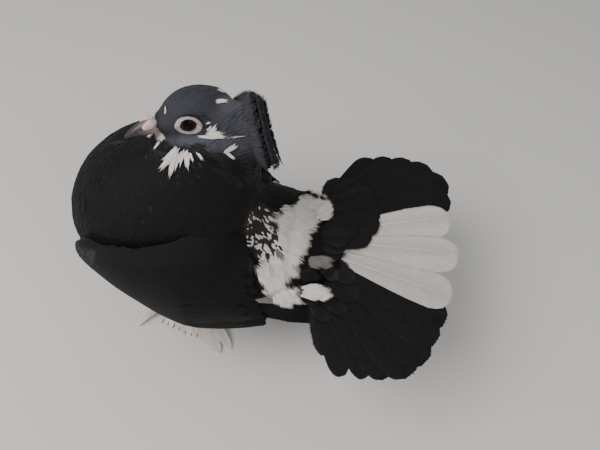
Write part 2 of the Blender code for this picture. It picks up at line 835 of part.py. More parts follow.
def make_foot():
    """The left foot: ankle, four toes with claws, and the slipper of stiff feathers."""
    ankle = ellipsoid("foot_left", (*LEG_AT, 4.8), (5.6, 5.2, 4.1), TOE, rings=8, sides=12)
    pieces = [
        toe(0, MIDDLE_TOE, 7),
        toe(SIDE_TOE_ANGLE, SIDE_TOE, 6),
        toe(-SIDE_TOE_ANGLE, SIDE_TOE - 3, 6),
        toe(180, HIND_TOE, 6),
    ]
    return fuse(ankle, pieces + [slipper(*sizes) for sizes in SLIPPERS])


def main():
    for old in list(bpy.data.objects):
        bpy.data.objects.remove(old)
    draw = random.Random(SEED)

    make_head()
    eyeball("eye_left", -1)
    eyeball("eye_right", 1)
    make_bill()
    make_crest(draw)

    loft("torso", body_rings(0, NECK_STATION), BLACK)
    rings = body_rings(NECK_STATION, len(BODY_STATIONS) - 1)
    rings[0] = rings[0] + ring_normal(rings[0]) * GAP
    carve(loft("neck", rings, BLACK), [loft("head_room", head_rings(GAP), SLATE)])

    make_tail(draw)
    mirrored(make_wing(draw), "wing_right")
    mirrored(make_leg(), "leg_right")
    mirrored(make_foot(), "foot_right")

    for made in bpy.context.scene.objects:
        made.data.shade_smooth()
        made.data.set_sharp_from_angle(angle=math.radians(40))


main()
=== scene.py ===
"""Dresses the fantail pigeon: skin, plumage, tail, wings, head, feet, floor, light and camera.

Places and sizes are in millimetres from the floor under the bird's heart, with the bill towards
-X, the tail towards +X and the left side towards -Y. place() turns them into the frame's metres.
"""

from __future__ import annotations

import json
import logging
import math
from dataclasses import dataclass, field, replace
from enum import Enum, IntEnum
from typing import Any, Callable, Sequence

import bmesh
import bpy
import numpy as np
from mathutils import Matrix, Vector
from mathutils.bvhtree import BVHTree

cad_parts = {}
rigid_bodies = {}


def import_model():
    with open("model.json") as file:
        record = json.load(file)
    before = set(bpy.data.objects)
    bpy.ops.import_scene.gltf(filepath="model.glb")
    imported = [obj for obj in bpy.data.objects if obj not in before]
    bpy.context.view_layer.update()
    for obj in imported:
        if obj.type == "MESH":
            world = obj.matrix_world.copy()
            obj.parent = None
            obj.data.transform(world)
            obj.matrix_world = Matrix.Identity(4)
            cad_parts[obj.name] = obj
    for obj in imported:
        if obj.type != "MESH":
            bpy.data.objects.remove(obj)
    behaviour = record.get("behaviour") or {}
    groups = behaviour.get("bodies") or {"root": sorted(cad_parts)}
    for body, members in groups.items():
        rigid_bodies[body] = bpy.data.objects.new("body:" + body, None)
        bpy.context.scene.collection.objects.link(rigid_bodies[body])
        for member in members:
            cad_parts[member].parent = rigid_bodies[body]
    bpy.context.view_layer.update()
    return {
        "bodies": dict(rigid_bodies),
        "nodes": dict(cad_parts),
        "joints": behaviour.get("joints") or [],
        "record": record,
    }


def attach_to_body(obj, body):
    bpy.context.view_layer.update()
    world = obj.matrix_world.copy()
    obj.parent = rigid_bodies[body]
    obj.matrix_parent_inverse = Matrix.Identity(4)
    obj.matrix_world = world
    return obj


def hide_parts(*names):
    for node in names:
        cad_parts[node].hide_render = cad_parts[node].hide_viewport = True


LOG = logging.getLogger("pigeon")

MM = 0.001
HEART = np.array([40.5, -2.9, 0.0])
SEED = 11
PATCH = 0.003  # each small feather's share of the map's width
ABOVE = np.array([0.0, 0.0, 1.0])
COAT_SLOTS = {"coat_face": "slate_feather", "coat_mane": "slate_feather", "coat_rump": "white_feather"}

Array = np.ndarray
Piece = bpy.types.Object
Material = bpy.types.Material
Surface = Callable[[Array, Array], Array]
Band = tuple[float, float]
Spot = tuple[float, float, float]
Rows = tuple[tuple[float, ...], ...]


class Side(IntEnum):
    """The bird's two sides, with the sign of their Y in the head's frame."""

    LEFT = -1
    RIGHT = 1

    @property
    def word(self) -> str:
        """The side's word in the names of pieces."""
        return self.name.lower()


# Places and small mathematics


def place(points: Any) -> Array:
    """Turns millimetres from under the heart into the frame's metres."""
    return (np.asarray(points, float) - HEART) * MM


def design(points: Any) -> Array:
    """Turns the frame's metres back into millimetres from under the heart."""
    return np.asarray(points, float) / MM + HEART


def unit(vectors: Array) -> Array:
    """Scales vectors to length one along their last axis."""
    length = np.linalg.norm(vectors, axis=-1, keepdims=True)
    return vectors / np.maximum(length, 1e-9)


def ease(value: Any, low: float, high: float) -> Array:
    """A smooth step from 0 at low to 1 at high."""
    t = np.clip((np.asarray(value, float) - low) / (high - low), 0.0, 1.0)
    return t * t * (3 - 2 * t)


def fade(value: Any, low: float, high: float) -> Array:
    """A smooth step from 1 at low to 0 at high."""
    return 1 - ease(value, low, high)


def smooth_rows(rows: Sequence[Sequence[float]], steps: int) -> Array:
    """Carries rows of numbers along a smooth curve.

    Args:
        rows: The rows that the curve passes through.
        steps: How many steps lie between one row and the next.

    Returns:
        The denser rows.
    """
    rows = np.array(rows, float)
    ends = np.vstack([2 * rows[0] - rows[1], rows, 2 * rows[-1] - rows[-2]])
    out = []
    for a, b, c, d in zip(ends, ends[1:], ends[2:], ends[3:]):
        for k in range(steps):
            t = k / steps
            linear = b + 0.5 * t * (c - a)
            square = 0.5 * t**2 * (2 * a - 5 * b + 4 * c - d)
            out.append(linear + square + 0.5 * t**3 * (3 * b - a - 3 * c + d))
    out.append(rows[-1])
    return np.array(out)


def turn(degrees: float, axis: str) -> Array:
    """The 3x3 matrix of a turn about a main axis."""
    return np.array(Matrix.Rotation(math.radians(degrees), 3, axis))


def on_side(at: Spot, side: int) -> Array:
    """A place that is given for the right side, on either side."""
    return at * np.array([1.0, side, 1.0])


# Meshes


def link(name: str, data: Any) -> Piece:
    """Makes an object of a mesh, a lamp or a camera and links it to the scene.

    Args:
        name: The object's name.
        data: The mesh, the lamp or the camera.

    Returns:
        The new object.
    """
    made = bpy.data.objects.new(name, data)
    bpy.context.scene.collection.objects.link(made)
    return made


def raw_piece(name: str, points: Any, faces: Sequence[Sequence[int]]) -> Piece:
    """Makes a mesh object from points that are in its own units already.

    Args:
        name: The object's name.
        points: Its vertices.
        faces: The vertex numbers of each face.

    Returns:
        The new object.
    """
    mesh = bpy.data.meshes.new(name)
    mesh.from_pydata([tuple(p) for p in points], [], [list(f) for f in faces])
    return link(name, mesh)


def mesh_piece(name: str, points: Array, faces: Sequence[Sequence[int]]) -> Piece:
    """Makes a smooth mesh object from points in millimetres.

    Args:
        name: The object's name.
        points: Its vertices in millimetres.
        faces: The vertex numbers of each face.

    Returns:
        The new object.
    """
    made = raw_piece(name, place(points), faces)
    made.data.shade_smooth()
    return made


def outward(subject: Piece, merge: bool = True) -> Piece:
    """Turns every face of closed shells outwards.

    Args:
        subject: The mesh object.
        merge: Whether doubles are merged first.

    Returns:
        The same object.
    """
    form = bmesh.new()
    form.from_mesh(subject.data)
    if merge:
        bmesh.ops.remove_doubles(form, verts=form.verts, dist=1e-6)
    bmesh.ops.recalc_face_normals(form, faces=form.faces)
    form.to_mesh(subject.data)
    form.free()
    return subject


def grid_faces(
    rows: int, columns: int, round_rows: bool = False, round_columns: bool = False
) -> list[list[int]]:
    """Four-sided faces between the points of a grid, which are numbered row by row.

    Args:
        rows: How many rows of points there are.
        columns: How many points a row has.
        round_rows: Whether the last row meets the first.
        round_columns: Whether a row's last point meets its first.

    Returns:
        The vertex numbers of each face.
    """
    faces = []
    for i in range(rows - (not round_rows)):
        here, there = i * columns, (i + 1) % rows * columns
        for k in range(columns - (not round_columns)):
            n = (k + 1) % columns
            faces.append([here + k, here + n, there + n, there + k])
    return faces


def tube_faces(rings: int, sides: int) -> list[list[int]]:
    """Faces of a tube of rings with a flat cap at each end."""
    caps = [list(range(sides))[::-1], [(rings - 1) * sides + k for k in range(sides)]]
    return grid_faces(rings, sides, round_columns=True) + caps


def loft(name: str, rings: Sequence[Array]) -> Piece:
    """A closed skin over rings of equally many points in millimetres."""
    return outward(mesh_piece(name, np.concatenate(rings), tube_faces(len(rings), len(rings[0]))))


def ball(name: str, centre: Array, size: Sequence[float], matrix: Array, rings: int, sides: int) -> Piece:
    """An ellipsoid.

    Args:
        name: The object's name.
        centre: Its middle in millimetres.
        size: Its half sizes.
        matrix: The turn from its own axes to the bird's.
        rings: How many bands lie between its poles.
        sides: How many faces lie round it.

    Returns:
        The new object.
    """
    points = [[0.0, 0.0, size[2]]]
    for i in range(1, rings):
        a = math.pi * i / rings
        for k in range(sides):
            b, flat = 2 * math.pi * k / sides, math.sin(a)
            points.append([size[0] * flat * math.cos(b), size[1] * flat * math.sin(b), size[2] * math.cos(a)])
    points.append([0.0, 0.0, -size[2]])
    faces, last = [], len(points) - 1
    for k in range(sides):
        n = (k + 1) % sides
        faces += [[0, 1 + k, 1 + n], [last, last - sides + n, last - sides + k]]
        for a in range(1, 1 + (rings - 2) * sides, sides):
            faces.append([a + k, a + sides + k, a + sides + n, a + n])
    return mesh_piece(name, np.asarray(centre) + np.array(points) @ np.asarray(matrix).T, faces)


def drop(subject: Piece) -> None:
    """Removes an object with its mesh.

    Args:
        subject: The mesh object.
    """
    mesh = subject.data
    bpy.data.objects.remove(subject)
    bpy.data.meshes.remove(mesh)


def join(name: str, pieces: Sequence[Piece]) -> Piece:
    """Joins mesh objects at the origin into one, with their maps and attributes.

    Args:
        name: The joined object's name.
        pieces: The mesh objects.

    Returns:
        The joined object.
    """
    first = pieces[0]
    with bpy.context.temp_override(active_object=first, selected_editable_objects=list(pieces), object=first):
        bpy.ops.object.join()
    first.name = first.data.name = name
    return first


def coated(subject: Piece, finish: Material, **values: float) -> Piece:
    """Gives a piece its finish, and every vertex the same value of each attribute named.

    Args:
        subject: The piece.
        finish: Its finish.
        **values: The value of each attribute.

    Returns:
        The same piece.
    """
    subject.data.materials.append(finish)
    for key, value in values.items():
        set_values(subject, key, np.full(len(subject.data.vertices), value))
    return subject


def grown(subject: Piece) -> bpy.types.Mesh:
    """The mesh that an object's modifiers make."""
    return bpy.data.meshes.new_from_object(subject.evaluated_get(bpy.context.evaluated_depsgraph_get()))


def set_values(subject: Piece, name: str, values: Array) -> None:
    """Stores one number or one vector for each vertex as a named attribute.

    Args:
        subject: The mesh object.
        name: The attribute's name.
        values: One row or one number for each vertex.
    """
    kind, key = ("FLOAT", "value") if values.ndim == 1 else ("FLOAT_VECTOR", "vector")
    layer = subject.data.attributes.get(name) or subject.data.attributes.new(name, kind, "POINT")
    layer.data.foreach_set(key, np.asarray(values, np.float32).ravel())


def get_points(subject: Piece) -> Array:
    """The vertices of an object in millimetres.

    Args:
        subject: The mesh object.

    Returns:
        One row for each vertex.
    """
    flat = np.empty(3 * len(subject.data.vertices), np.float32)
    subject.data.vertices.foreach_get("co", flat)
    return design(flat.reshape(-1, 3))


def set_points(subject: Piece, points: Array) -> None:
    """Moves an object's vertices to places in millimetres."""
    subject.data.vertices.foreach_set("co", place(points).astype(np.float32).ravel())
    subject.data.update()


def get_normals(subject: Piece) -> Array:
    """The vertex normals of an object."""
    return np.array([tuple(n.vector) for n in subject.data.vertex_normals])


def map_uv(subject: Piece, name: str, per_vertex: Array) -> None:
    """Gives every corner of a mesh the map place of its vertex.

    Args:
        subject: The mesh object.
        name: The map's name.
        per_vertex: The map place of each vertex.
    """
    layer = subject.data.uv_layers.get(name) or subject.data.uv_layers.new(name=name)
    corners = np.empty(len(subject.data.loops), np.int32)
    subject.data.loops.foreach_get("vertex_index", corners)
    layer.data.foreach_set("uv", np.asarray(per_vertex, np.float32)[corners].ravel())


# Nodes and finishes


def linear(code: str) -> tuple[float, float, float, float]:
    """Turns an sRGB hex colour into linear light.

    Args:
        code: The colour as # and six digits.

    Returns:
        Its red, green and blue, with full opacity.
    """
    out = []
    for k in (1, 3, 5):
        c = int(code[k : k + 2], 16) / 255
        out.append(c / 12.92 if c <= 0.04045 else ((c + 0.055) / 1.055) ** 2.4)
    return (*out, 1.0)


class Nodes:
    """A node tree with short ways to add to it, each of which returns a socket of the new node."""

    tree: bpy.types.NodeTree

    def connect(self, node: bpy.types.Node, inputs: dict[Any, Any]) -> None:
        """Links a node's inputs, by name or number, to sockets or sets them to plain values.

        Args:
            node: The node.
            inputs: A socket or a plain value for each input.
        """
        for key, value in inputs.items():
            if isinstance(value, bpy.types.NodeSocket):
                self.tree.links.new(value, node.inputs[key])
            else:
                node.inputs[key].default_value = value

    def add(self, kind: str, inputs: dict[Any, Any], take: Any = 0, **settings: Any) -> Any:
        """Adds a node.

        Args:
            kind: The node's type.
            inputs: Another node's socket or a plain value for each input, by name or number.
            take: The output that is wanted, by name or number.
            **settings: Properties of the node.

        Returns:
            The socket of that output.
        """
        node = self.tree.nodes.new(kind)
        for key, value in settings.items():
            setattr(node, key, value)
        self.connect(node, inputs)
        return node.outputs[take]

    def maths(self, operation: str, *values: Any) -> Any:
        """Works out one number from others."""
        return self.add("ShaderNodeMath", dict(enumerate(values)), operation=operation)

    def vector(self, *numbers: Any) -> Any:
        """Puts three numbers together."""
        return self.add("ShaderNodeCombineXYZ", dict(enumerate(numbers)))


class Shading(Nodes):
    """A material in the making."""

    def __init__(self, name: str) -> None:
        """Starts the material with a Principled shader.

        Args:
            name: The material's name.
        """
        self.material = bpy.data.materials.new(name)
        self.material.use_nodes = True
        self.tree = self.material.node_tree

    def attribute(self, name: str) -> Any:
        """The number that a mesh attribute has."""
        return self.add("ShaderNodeAttribute", {}, "Fac", attribute_name=name)

    def mix(self, share: Any, low: Any, high: Any, how: str = "MIX") -> Any:
        """Mixes two colours, each of them a socket, linear light or an sRGB hex colour."""
        low, high = (linear(colour) if isinstance(colour, str) else colour for colour in (low, high))
        return self.add("ShaderNodeMix", {0: share, 6: low, 7: high}, 2, data_type="RGBA", blend_type=how)

    def pigment(self, colours: Any, white: Any) -> Any:
        """Mixes a finish's black with the slate, the brown and the white that a place has."""
        colour = self.mix(self.attribute("slate"), colours.black, colours.slate)
        return self.mix(white, self.mix(self.attribute("warm"), colour, colours.brown), colours.white)

    def toned(self, colour: Any, tone: Any) -> Any:
        """A colour times a number."""
        return self.mix(1.0, colour, self.vector(tone, tone, tone), "MULTIPLY")

    def grain(self, size: float, kind: str = "Noise", **settings: Any) -> Any:
        """A number that varies over a size in millimetres and is fixed to the object."""
        inputs = {"Vector": self.add("ShaderNodeTexCoord", {}, "Object"), "Scale": 1 / (size * MM)}
        return self.add("ShaderNodeTex" + kind, inputs, **settings)

    def ramp(self, value: Any, low: float, high: float, kind: str = "LINEAR") -> Any:
        """Stretches a range of a number to 0 and 1."""
        inputs = {"Value": value, "From Min": low, "From Max": high}
        return self.add("ShaderNodeMapRange", inputs, interpolation_type=kind)

    def relief(self, strength: float, depth: float, height: Any) -> Any:
        """Bumps of a depth in metres."""
        return self.add("ShaderNodeBump", {"Strength": strength, "Distance": depth, "Height": height})

    def finish(self, inputs: dict[str, Any]) -> Material:
        """Sets the shader's inputs and returns the material."""
        self.connect(self.tree.nodes["Principled BSDF"], inputs)
        return self.material


@dataclass(frozen=True)
class Plumage:
    """Keratin feather barbs, grown and preened: soft, dull, with a faint gloss along the barbs.

    The attributes white, slate and warm choose the pigment, shade tells one feather from the
    next, and the vane map runs along and across each feather.
    """

    name: str = "feather_barbs"
    black: str = "#100e0f"
    slate: str = "#3a3b41"
    white: str = "#e6dcd3"
    brown: str = "#453c38"
    roughness: float = 0.6
    sheen: float = 0.02
    gloss: float = 0.16
    variation: float = 0.45
    barbs: float = 9.0
    stripe: float = 0.06
    root_tone: float = 0.84
    worn_tip: float = 0.22

    def make(self) -> Material:
        """Builds the material.

        Returns:
            The material.
        """
        s = Shading(self.name)
        pigment = s.pigment(self, s.ramp(s.attribute("white"), 0.2, 0.8, "SMOOTHSTEP"))
        vane = s.add("ShaderNodeSeparateXYZ", {0: s.add("ShaderNodeUVMap", {}, uv_map="vane")}).node.outputs
        across = s.maths("ABSOLUTE", s.maths("SUBTRACT", vane[1], 0.5))
        phase = s.maths("MULTIPLY_ADD", across, -1.0, vane[0])
        wave = s.maths("SINE", s.maths("MULTIPLY", phase, self.barbs * 2 * math.pi))
        tone = s.maths("MULTIPLY_ADD", s.attribute("shade"), self.variation, 1 - self.variation / 2)
        tone = s.maths("MULTIPLY_ADD", wave, self.stripe, tone)
        tone = s.maths("MULTIPLY", tone, s.maths("MULTIPLY_ADD", vane[0], self.worn_tip, self.root_tone))
        return s.finish({
            "Base Color": s.toned(pigment, tone), "Roughness": self.roughness, "Sheen Weight": self.sheen,
            "Sheen Roughness": 0.5, "Specular IOR Level": self.gloss, "Normal": s.relief(0.25, 0.00015, wave),
        })


@dataclass(frozen=True)
class Underlay:
    """Skin under the feathers, seen as the shadowed base of the down between them."""

    name: str = "feathered_skin"
    black: str = "#100e10"
    slate: str = "#2c2d32"
    white: str = "#cfc6bf"
    brown: str = "#3a3431"
    grain: float = 0.9

    def make(self) -> Material:
        """Builds the material.

        Returns:
            The material.
        """
        s = Shading(self.name)
        grain = s.grain(self.grain)
        colour = s.toned(s.pigment(self, s.attribute("white")), s.maths("MULTIPLY_ADD", grain, 0.5, 0.7))
        return s.finish({"Base Color": colour, "Roughness": 0.8, "Normal": s.relief(0.6, 0.0004, grain)})


@dataclass(frozen=True)
class BareSkin:
    """Living bare skin, wrinkled and powdered with feather dust: pale, soft and slightly moist."""

    name: str
    base: str
    flush: str
    blotch: float = 2.4
    wrinkle: float = 0.55
    depth: float = 0.00018
    roughness: float = 0.5
    translucence: float = 0.12

    def make(self) -> Material:
        """Builds the material.

        Returns:
            The material.
        """
        s = Shading(self.name)
        folds = s.grain(self.wrinkle, "Voronoi", feature="SMOOTH_F1")
        return s.finish({
            "Base Color": s.mix(s.ramp(s.grain(self.blotch), 0.35, 0.65), self.base, self.flush),
            "Normal": s.relief(0.7, self.depth, folds), "Roughness": self.roughness,
            "Subsurface Weight": self.translucence, "Subsurface Radius": (0.0012, 0.0005, 0.0003),
            "Subsurface Scale": 1.0,
        })


@dataclass(frozen=True)
class Horn:
    """Keratin sheath of the bill and claws, grown in layers: smooth, slightly polished at the tip.

    The attribute tip runs from 0 at the base to 1 at the point.
    """

    name: str
    base: str
    point: str
    layer: float = 0.7
    roughness: float = 0.36

    def make(self) -> Material:
        """Builds the material.

        Returns:
            The material.
        """
        s = Shading(self.name)
        layers = s.grain(self.layer)
        share = s.ramp(s.maths("MULTIPLY_ADD", layers, 0.5, s.attribute("tip")), 0.3, 0.85)
        colour = s.mix(share, self.base, self.point)
        relief = s.relief(0.4, 0.0001, layers)
        return s.finish({"Base Color": colour, "Roughness": self.roughness, "Normal": relief})


@dataclass(frozen=True)
class EyeBall:
    """A wet eye: black pupil, dark brown iris with fine rays, and a clear cornea over them.

    The attribute polar is 0 at the middle of the pupil and grows with the angle from it.
    """

    name: str = "wet_eye"
    iris: str = "#1c100c"
    ray: str = "#3a241c"
    rim: str = "#120a08"
    pupil: float = 0.5
    pupil_blur: float = 0.015
    edge: float = 0.78
    edge_blur: float = 0.08
    rays: float = 0.35

    def make(self) -> Material:
        """Builds the material.

        Returns:
            The material.
        """
        s = Shading(self.name)
        polar = s.attribute("polar")
        colour = s.mix(s.grain(self.rays), self.iris, self.ray)
        inner = s.ramp(polar, self.pupil - self.pupil_blur, self.pupil + self.pupil_blur, "SMOOTHSTEP")
        outer = s.ramp(polar, self.edge - self.edge_blur, self.edge, "SMOOTHSTEP")
        colour = s.mix(outer, s.mix(inner, (0.002, 0.002, 0.002, 1), colour), self.rim)
        return s.finish({
            "Base Color": colour, "Roughness": 0.2, "Coat Weight": 0.12, "Coat Roughness": 0.02,
            "Specular IOR Level": 0.08, "IOR": 1.38,
        })


@dataclass(frozen=True)
class Plaster:
    """Matt painted studio floor."""

    name: str = "matt_floor"
    colour: str = "#dcd8d2"

    def make(self) -> Material:
        """Builds the material."""
        return Shading(self.name).finish({"Base Color": linear(self.colour), "Roughness": 0.9})


# The bird's own surfaces, which every feather is placed on


@dataclass
class HeadFrame:
    """The head's own frame, with -x to the bill, and its form.

    Each station of the form is its place along the head, half width, top and bottom.
    """

    at: Spot = (-0.5, 3.5, 188.0)
    heading: float = 28.0
    nod: float = -4.0
    stations: Rows = (
        (-20.3, 4.8, 0.8, -7.6), (-17, 7.6, 3.0, -9.4), (-11.5, 10.6, 8.0, -11.5),
        (-4.5, 12.6, 11.6, -14.0), (3, 13.4, 12.2, -16.5), (10.5, 13.2, 10.2, -18.0),
        (17.5, 11.8, 6.0, -17.5), (24, 8.0, -1.5, -13.0),
    )
    roundness: float = 0.95
    skull_at: Spot = (1.0, 0, -2.5)
    skull_size: Spot = (24.0, 15.0, 17.5)
    eye: Spot = (-3.85, 7.8, -0.1)
    eye_radius: float = 5.3
    eye_forward: float = 8.0
    ring_drop: float = 0.4

    def matrix(self) -> Array:
        """The turn from the head's frame to the bird's."""
        return turn(self.heading, "Z") @ turn(self.nod, "Y")

    def out(self, points: Any) -> Array:
        """Places in the head's frame as places in the bird's."""
        return np.asarray(points, float) @ self.matrix().T + self.at

    def into(self, points: Array) -> Array:
        """Places in the bird's frame as places in the head's."""
        return (points - self.at) @ self.matrix()

    def rings(self, steps: int, sides: int) -> list[Array]:
        """Rings round the head from the bill's base to the nape.

        Args:
            steps: How many rings lie from one station to the next.
            sides: How many points a ring has.

        Returns:
            Each ring's points in millimetres.
        """
        rings = []
        a = 2 * math.pi * np.arange(sides) / sides
        flat, high = (np.sign(wave) * np.abs(wave) ** self.roundness for wave in (np.cos(a), np.sin(a)))
        for x, half_width, top, bottom in smooth_rows(self.stations, steps):
            z = (top + bottom) / 2 + (top - bottom) / 2 * high
            rings.append(self.out(np.stack([np.full(sides, x), half_width * flat, z], axis=1)))
        return rings

    def oval(self, points: Array, at: Sequence[float], size: Any = 1.0) -> Array:
        """How far the bird's places lie from an oval's middle in the head's frame, where 1 is its edge."""
        return np.linalg.norm((self.into(points) - at) / size, axis=1)

    def skull(self, points: Array) -> Array:
        """How far places lie from the skull's middle, where 1 is its surface."""
        return self.oval(points, self.skull_at, self.skull_size)

    def eye_centre(self, side: int) -> Array:
        """The middle of an eyeball, in the head's frame."""
        return on_side(self.eye, side)

    def eye_axes(self, side: int) -> tuple[Array, Array, Array]:
        """An eye's look, forward and up directions, in the head's frame.

        Args:
            side: The eye's side.

        Returns:
            The three directions.
        """
        a = math.radians(self.eye_forward)
        axis = np.array([-math.sin(a), side * math.cos(a), 0.0])
        return axis, np.array([-side * axis[1], side * axis[0], 0.0]), ABOVE

    def flank(self, x: Array, z: Array) -> Array:
        """The half width of the head's form at places along and up it.

        Args:
            x: Places along the head.
            z: Places up it.

        Returns:
            One half width for each place.
        """
        rows = smooth_rows(self.stations, 3)
        half, top, bottom = (np.interp(x, rows[:, 0], rows[:, c]) for c in (1, 2, 3))
        share = (z - (top + bottom) / 2) / ((top - bottom) / 2)
        return half * np.sqrt(np.clip(1 - share**2, 0.02, 1))

    def around_eye(self, points: Array, size: Band) -> Array:
        """How far places lie from the middle of the nearer eye's ring, where 1 is an oval's edge.

        Args:
            points: Places in millimetres.
            size: The oval's half sizes.

        Returns:
            One number for each place.
        """
        out = np.full(len(points), 9.0)
        for side in Side:
            axis, ahead, up = self.eye_axes(side)
            offset = self.into(points) - self.eye_centre(side)
            oval = np.hypot(offset @ ahead / size[0], (offset @ up + self.ring_drop) / size[1])
            out = np.where(offset @ axis > 0, np.minimum(out, oval), out)
        return out


@dataclass
class Hood:
    """The rounded mass of nape feathers behind the head, and the shell crest on it."""

    at: Spot = (24.0, 2.0, 173.0)
    size: Spot = (18.5, 18.5, 25.0)
    heading: float = 16.0

    def matrix(self) -> Array:
        """The turn from the hood's frame to the bird's."""
        return turn(self.heading, "Z")

    def into(self, points: Array) -> Array:
        """Places in the bird's frame as shares of the hood's half sizes in its own."""
        return (points - self.at) @ self.matrix() / self.size

    def nape(self, points: Array) -> Array:
        """How far places lie from the hood's middle, where 1 is its surface."""
        return np.linalg.norm(self.into(points), axis=1)


@dataclass
class WingFace:
    """The outer face of the folded left wing, from its top edge (0) to its lower edge (1).

    Each station is its place along the bird and the y and z of the top edge, the middle and the
    lower edge. core_sink is how far the flesh lies under the face at places along it.
    """

    stations: Rows = (
        (-70, -37, 108, -39, 101, -37, 94), (-60, -43.5, 120, -46, 102, -41, 85),
        (-40, -50, 125, -55, 99, -48, 73), (-15, -51.5, 130, -60, 96, -55, 62),
        (8, -45, 133, -61, 93, -57, 57), (28, -36, 121, -58, 90, -56, 60), (44, -38, 102, -55, 84, -54, 64),
        (62, -42, 90, -51, 79, -50, 64), (90, -42, 82, -47, 75, -47, 64), (125, -40, 78, -43, 72, -43, 64),
    )
    depth: float = 15.0
    core_sink: tuple[Band, ...] = (
        (-70, 0.6), (-58, 1.4), (-44, 3.2), (-22, 4.6), (0, 7.2), (44, 7.6),
    )
    hem: float = 0.2
    lower_hem: float = 0.14
    hem_share: float = 0.4

    def __post_init__(self) -> None:
        """Works out the dense rows once."""
        self.rows = smooth_rows(self.stations, 8)

    def spread(self, v: Array) -> Array:
        """The share of its depth that a layer keeps at this distance between the edges."""
        inside = np.minimum(v / self.hem, (1 - v) / self.lower_hem)
        return self.hem_share + (1 - self.hem_share) * np.clip(inside, 0.0, 1.0)

    def sink(self, x: Array) -> Array:
        """How far the wing's flesh lies under the outer face."""
        places, sinks = zip(*self.core_sink)
        return np.interp(x, places, sinks)

    def row(self, x: Array) -> list[Array]:
        """The y and z of the top edge, the middle and the lower edge at places along the bird."""
        return [np.interp(x, self.rows[:, 0], self.rows[:, c]) for c in range(1, 7)]

    def height(self, x: Array) -> Array:
        """The length of the face from its top edge to its lower edge."""
        row = self.row(x)
        return np.hypot(row[0] - row[2], row[1] - row[3]) + np.hypot(row[2] - row[4], row[3] - row[5])

    def point(self, x: Array, v: Array, lift: Any = 0.0) -> Array:
        """Points of the face, lifted off it along its normal.

        Args:
            x: Places along the bird.
            v: Shares of the way from the top edge to the lower edge.
            lift: Heights over the face.

        Returns:
            Points of the left wing in millimetres.
        """
        x, v, lift = np.broadcast_arrays(np.asarray(x, float), np.asarray(v, float), np.asarray(lift, float))
        row = self.row(x)
        weights = ((2 * v - 1) * (v - 1), 4 * v * (1 - v), v * (2 * v - 1))
        slopes = (4 * v - 3, 4 - 8 * v, 4 * v - 1)
        y, z, dy, dz = (sum(w * c for w, c in zip(by, row[k::2])) for by in (weights, slopes) for k in (0, 1))
        size = np.hypot(dy, dz)
        return np.stack([x, y + dz / size * lift, z - dy / size * lift], axis=-1)


@dataclass
class TailFan:
    """The nearly level fan: its centre, slant and the tail feathers.

    Each feather is its angle from the middle line, its reach from the centre, and the half widths
    on its far (+Y) and near (-Y) side.
    """

    root: Spot = (46.0, 0.0, 88.0)
    slant: float = 0.06
    layer: float = 0.9
    middle: tuple[float, ...] = (2.5, 118, 11.5, 15.7)
    right: Rows = (
        (16.5, 117, 10.6, 15.0), (24, 123, 13, 13), (30, 128, 13, 13), (36, 124, 13, 13), (41, 116, 12, 13),
        (46, 106, 11, 12), (51, 96, 11, 11),
    )
    left: Rows = (
        (-13.5, 116, 15, 13.0), (-22, 117, 13, 13), (-29, 118, 13, 13), (-36, 120, 13, 13),
        (-42, 119, 13, 13), (-48, 112, 12, 10), (-54.3, 105.5, 7.5, 5.5), (-60.3, 99, 7, 6),
    )

    def feathers(self) -> list[tuple[tuple[float, ...], int]]:
        """Every feather with its order outwards from the middle one, by angle.

        Returns:
            Each feather's numbers with its order.
        """
        out = [(self.middle, 0)]
        for side in (self.right, self.left):
            out += [(feather, order + 1) for order, feather in enumerate(side)]
        return sorted(out)

    def order_at(self, angle: Any) -> Array:
        """The order outwards from the middle feather at an angle."""
        pairs = [(feather[0], order) for feather, order in self.feathers()]
        return np.interp(angle, *zip(*pairs))

    def height(self, plan: Array, order: float, lift: float) -> Array:
        """The height of a feather of this order over the floor at plan places.

        Args:
            plan: Places seen from above.
            order: The feather's order.
            lift: How far it is lifted.

        Returns:
            One height for each place.
        """
        offset = plan - self.root[:2]
        angle = np.degrees(np.arctan2(offset[..., 1], offset[..., 0]))
        spread = np.minimum(1.0, np.linalg.norm(offset, axis=-1) / 40)
        rise = self.layer * spread * (self.order_at(angle) - order)
        return self.root[2] + self.slant * plan[..., 1] + lift + np.clip(rise, -2.4, 2.4)


# Markings


@dataclass(frozen=True)
class Pigments:
    """Pigment at places: shares of white, slate and brown, and how many single feathers are white."""

    white: Array
    slate: Array
    warm: Array
    speck: Array


def wobble(points: Array, size: float, phase: float = 0.0) -> Array:
    """A smooth uneven number from -1 to 1 that varies over a size in millimetres.

    Args:
        points: Places in millimetres.
        size: The size in millimetres.
        phase: A shift that tells one pattern from another.

    Returns:
        One number for each place.
    """
    p = points / size * 2 * math.pi + phase
    a = np.sin(p[:, 0] + 1.7 * np.sin(0.61 * p[:, 1] + phase))
    b = np.sin(0.83 * p[:, 1] - 1.3 * np.sin(0.47 * p[:, 2] + 2.0))
    c = np.sin(0.91 * p[:, 2] + 1.1 * np.sin(0.53 * p[:, 0] + 4.0))
    return (a + b + c) / 3


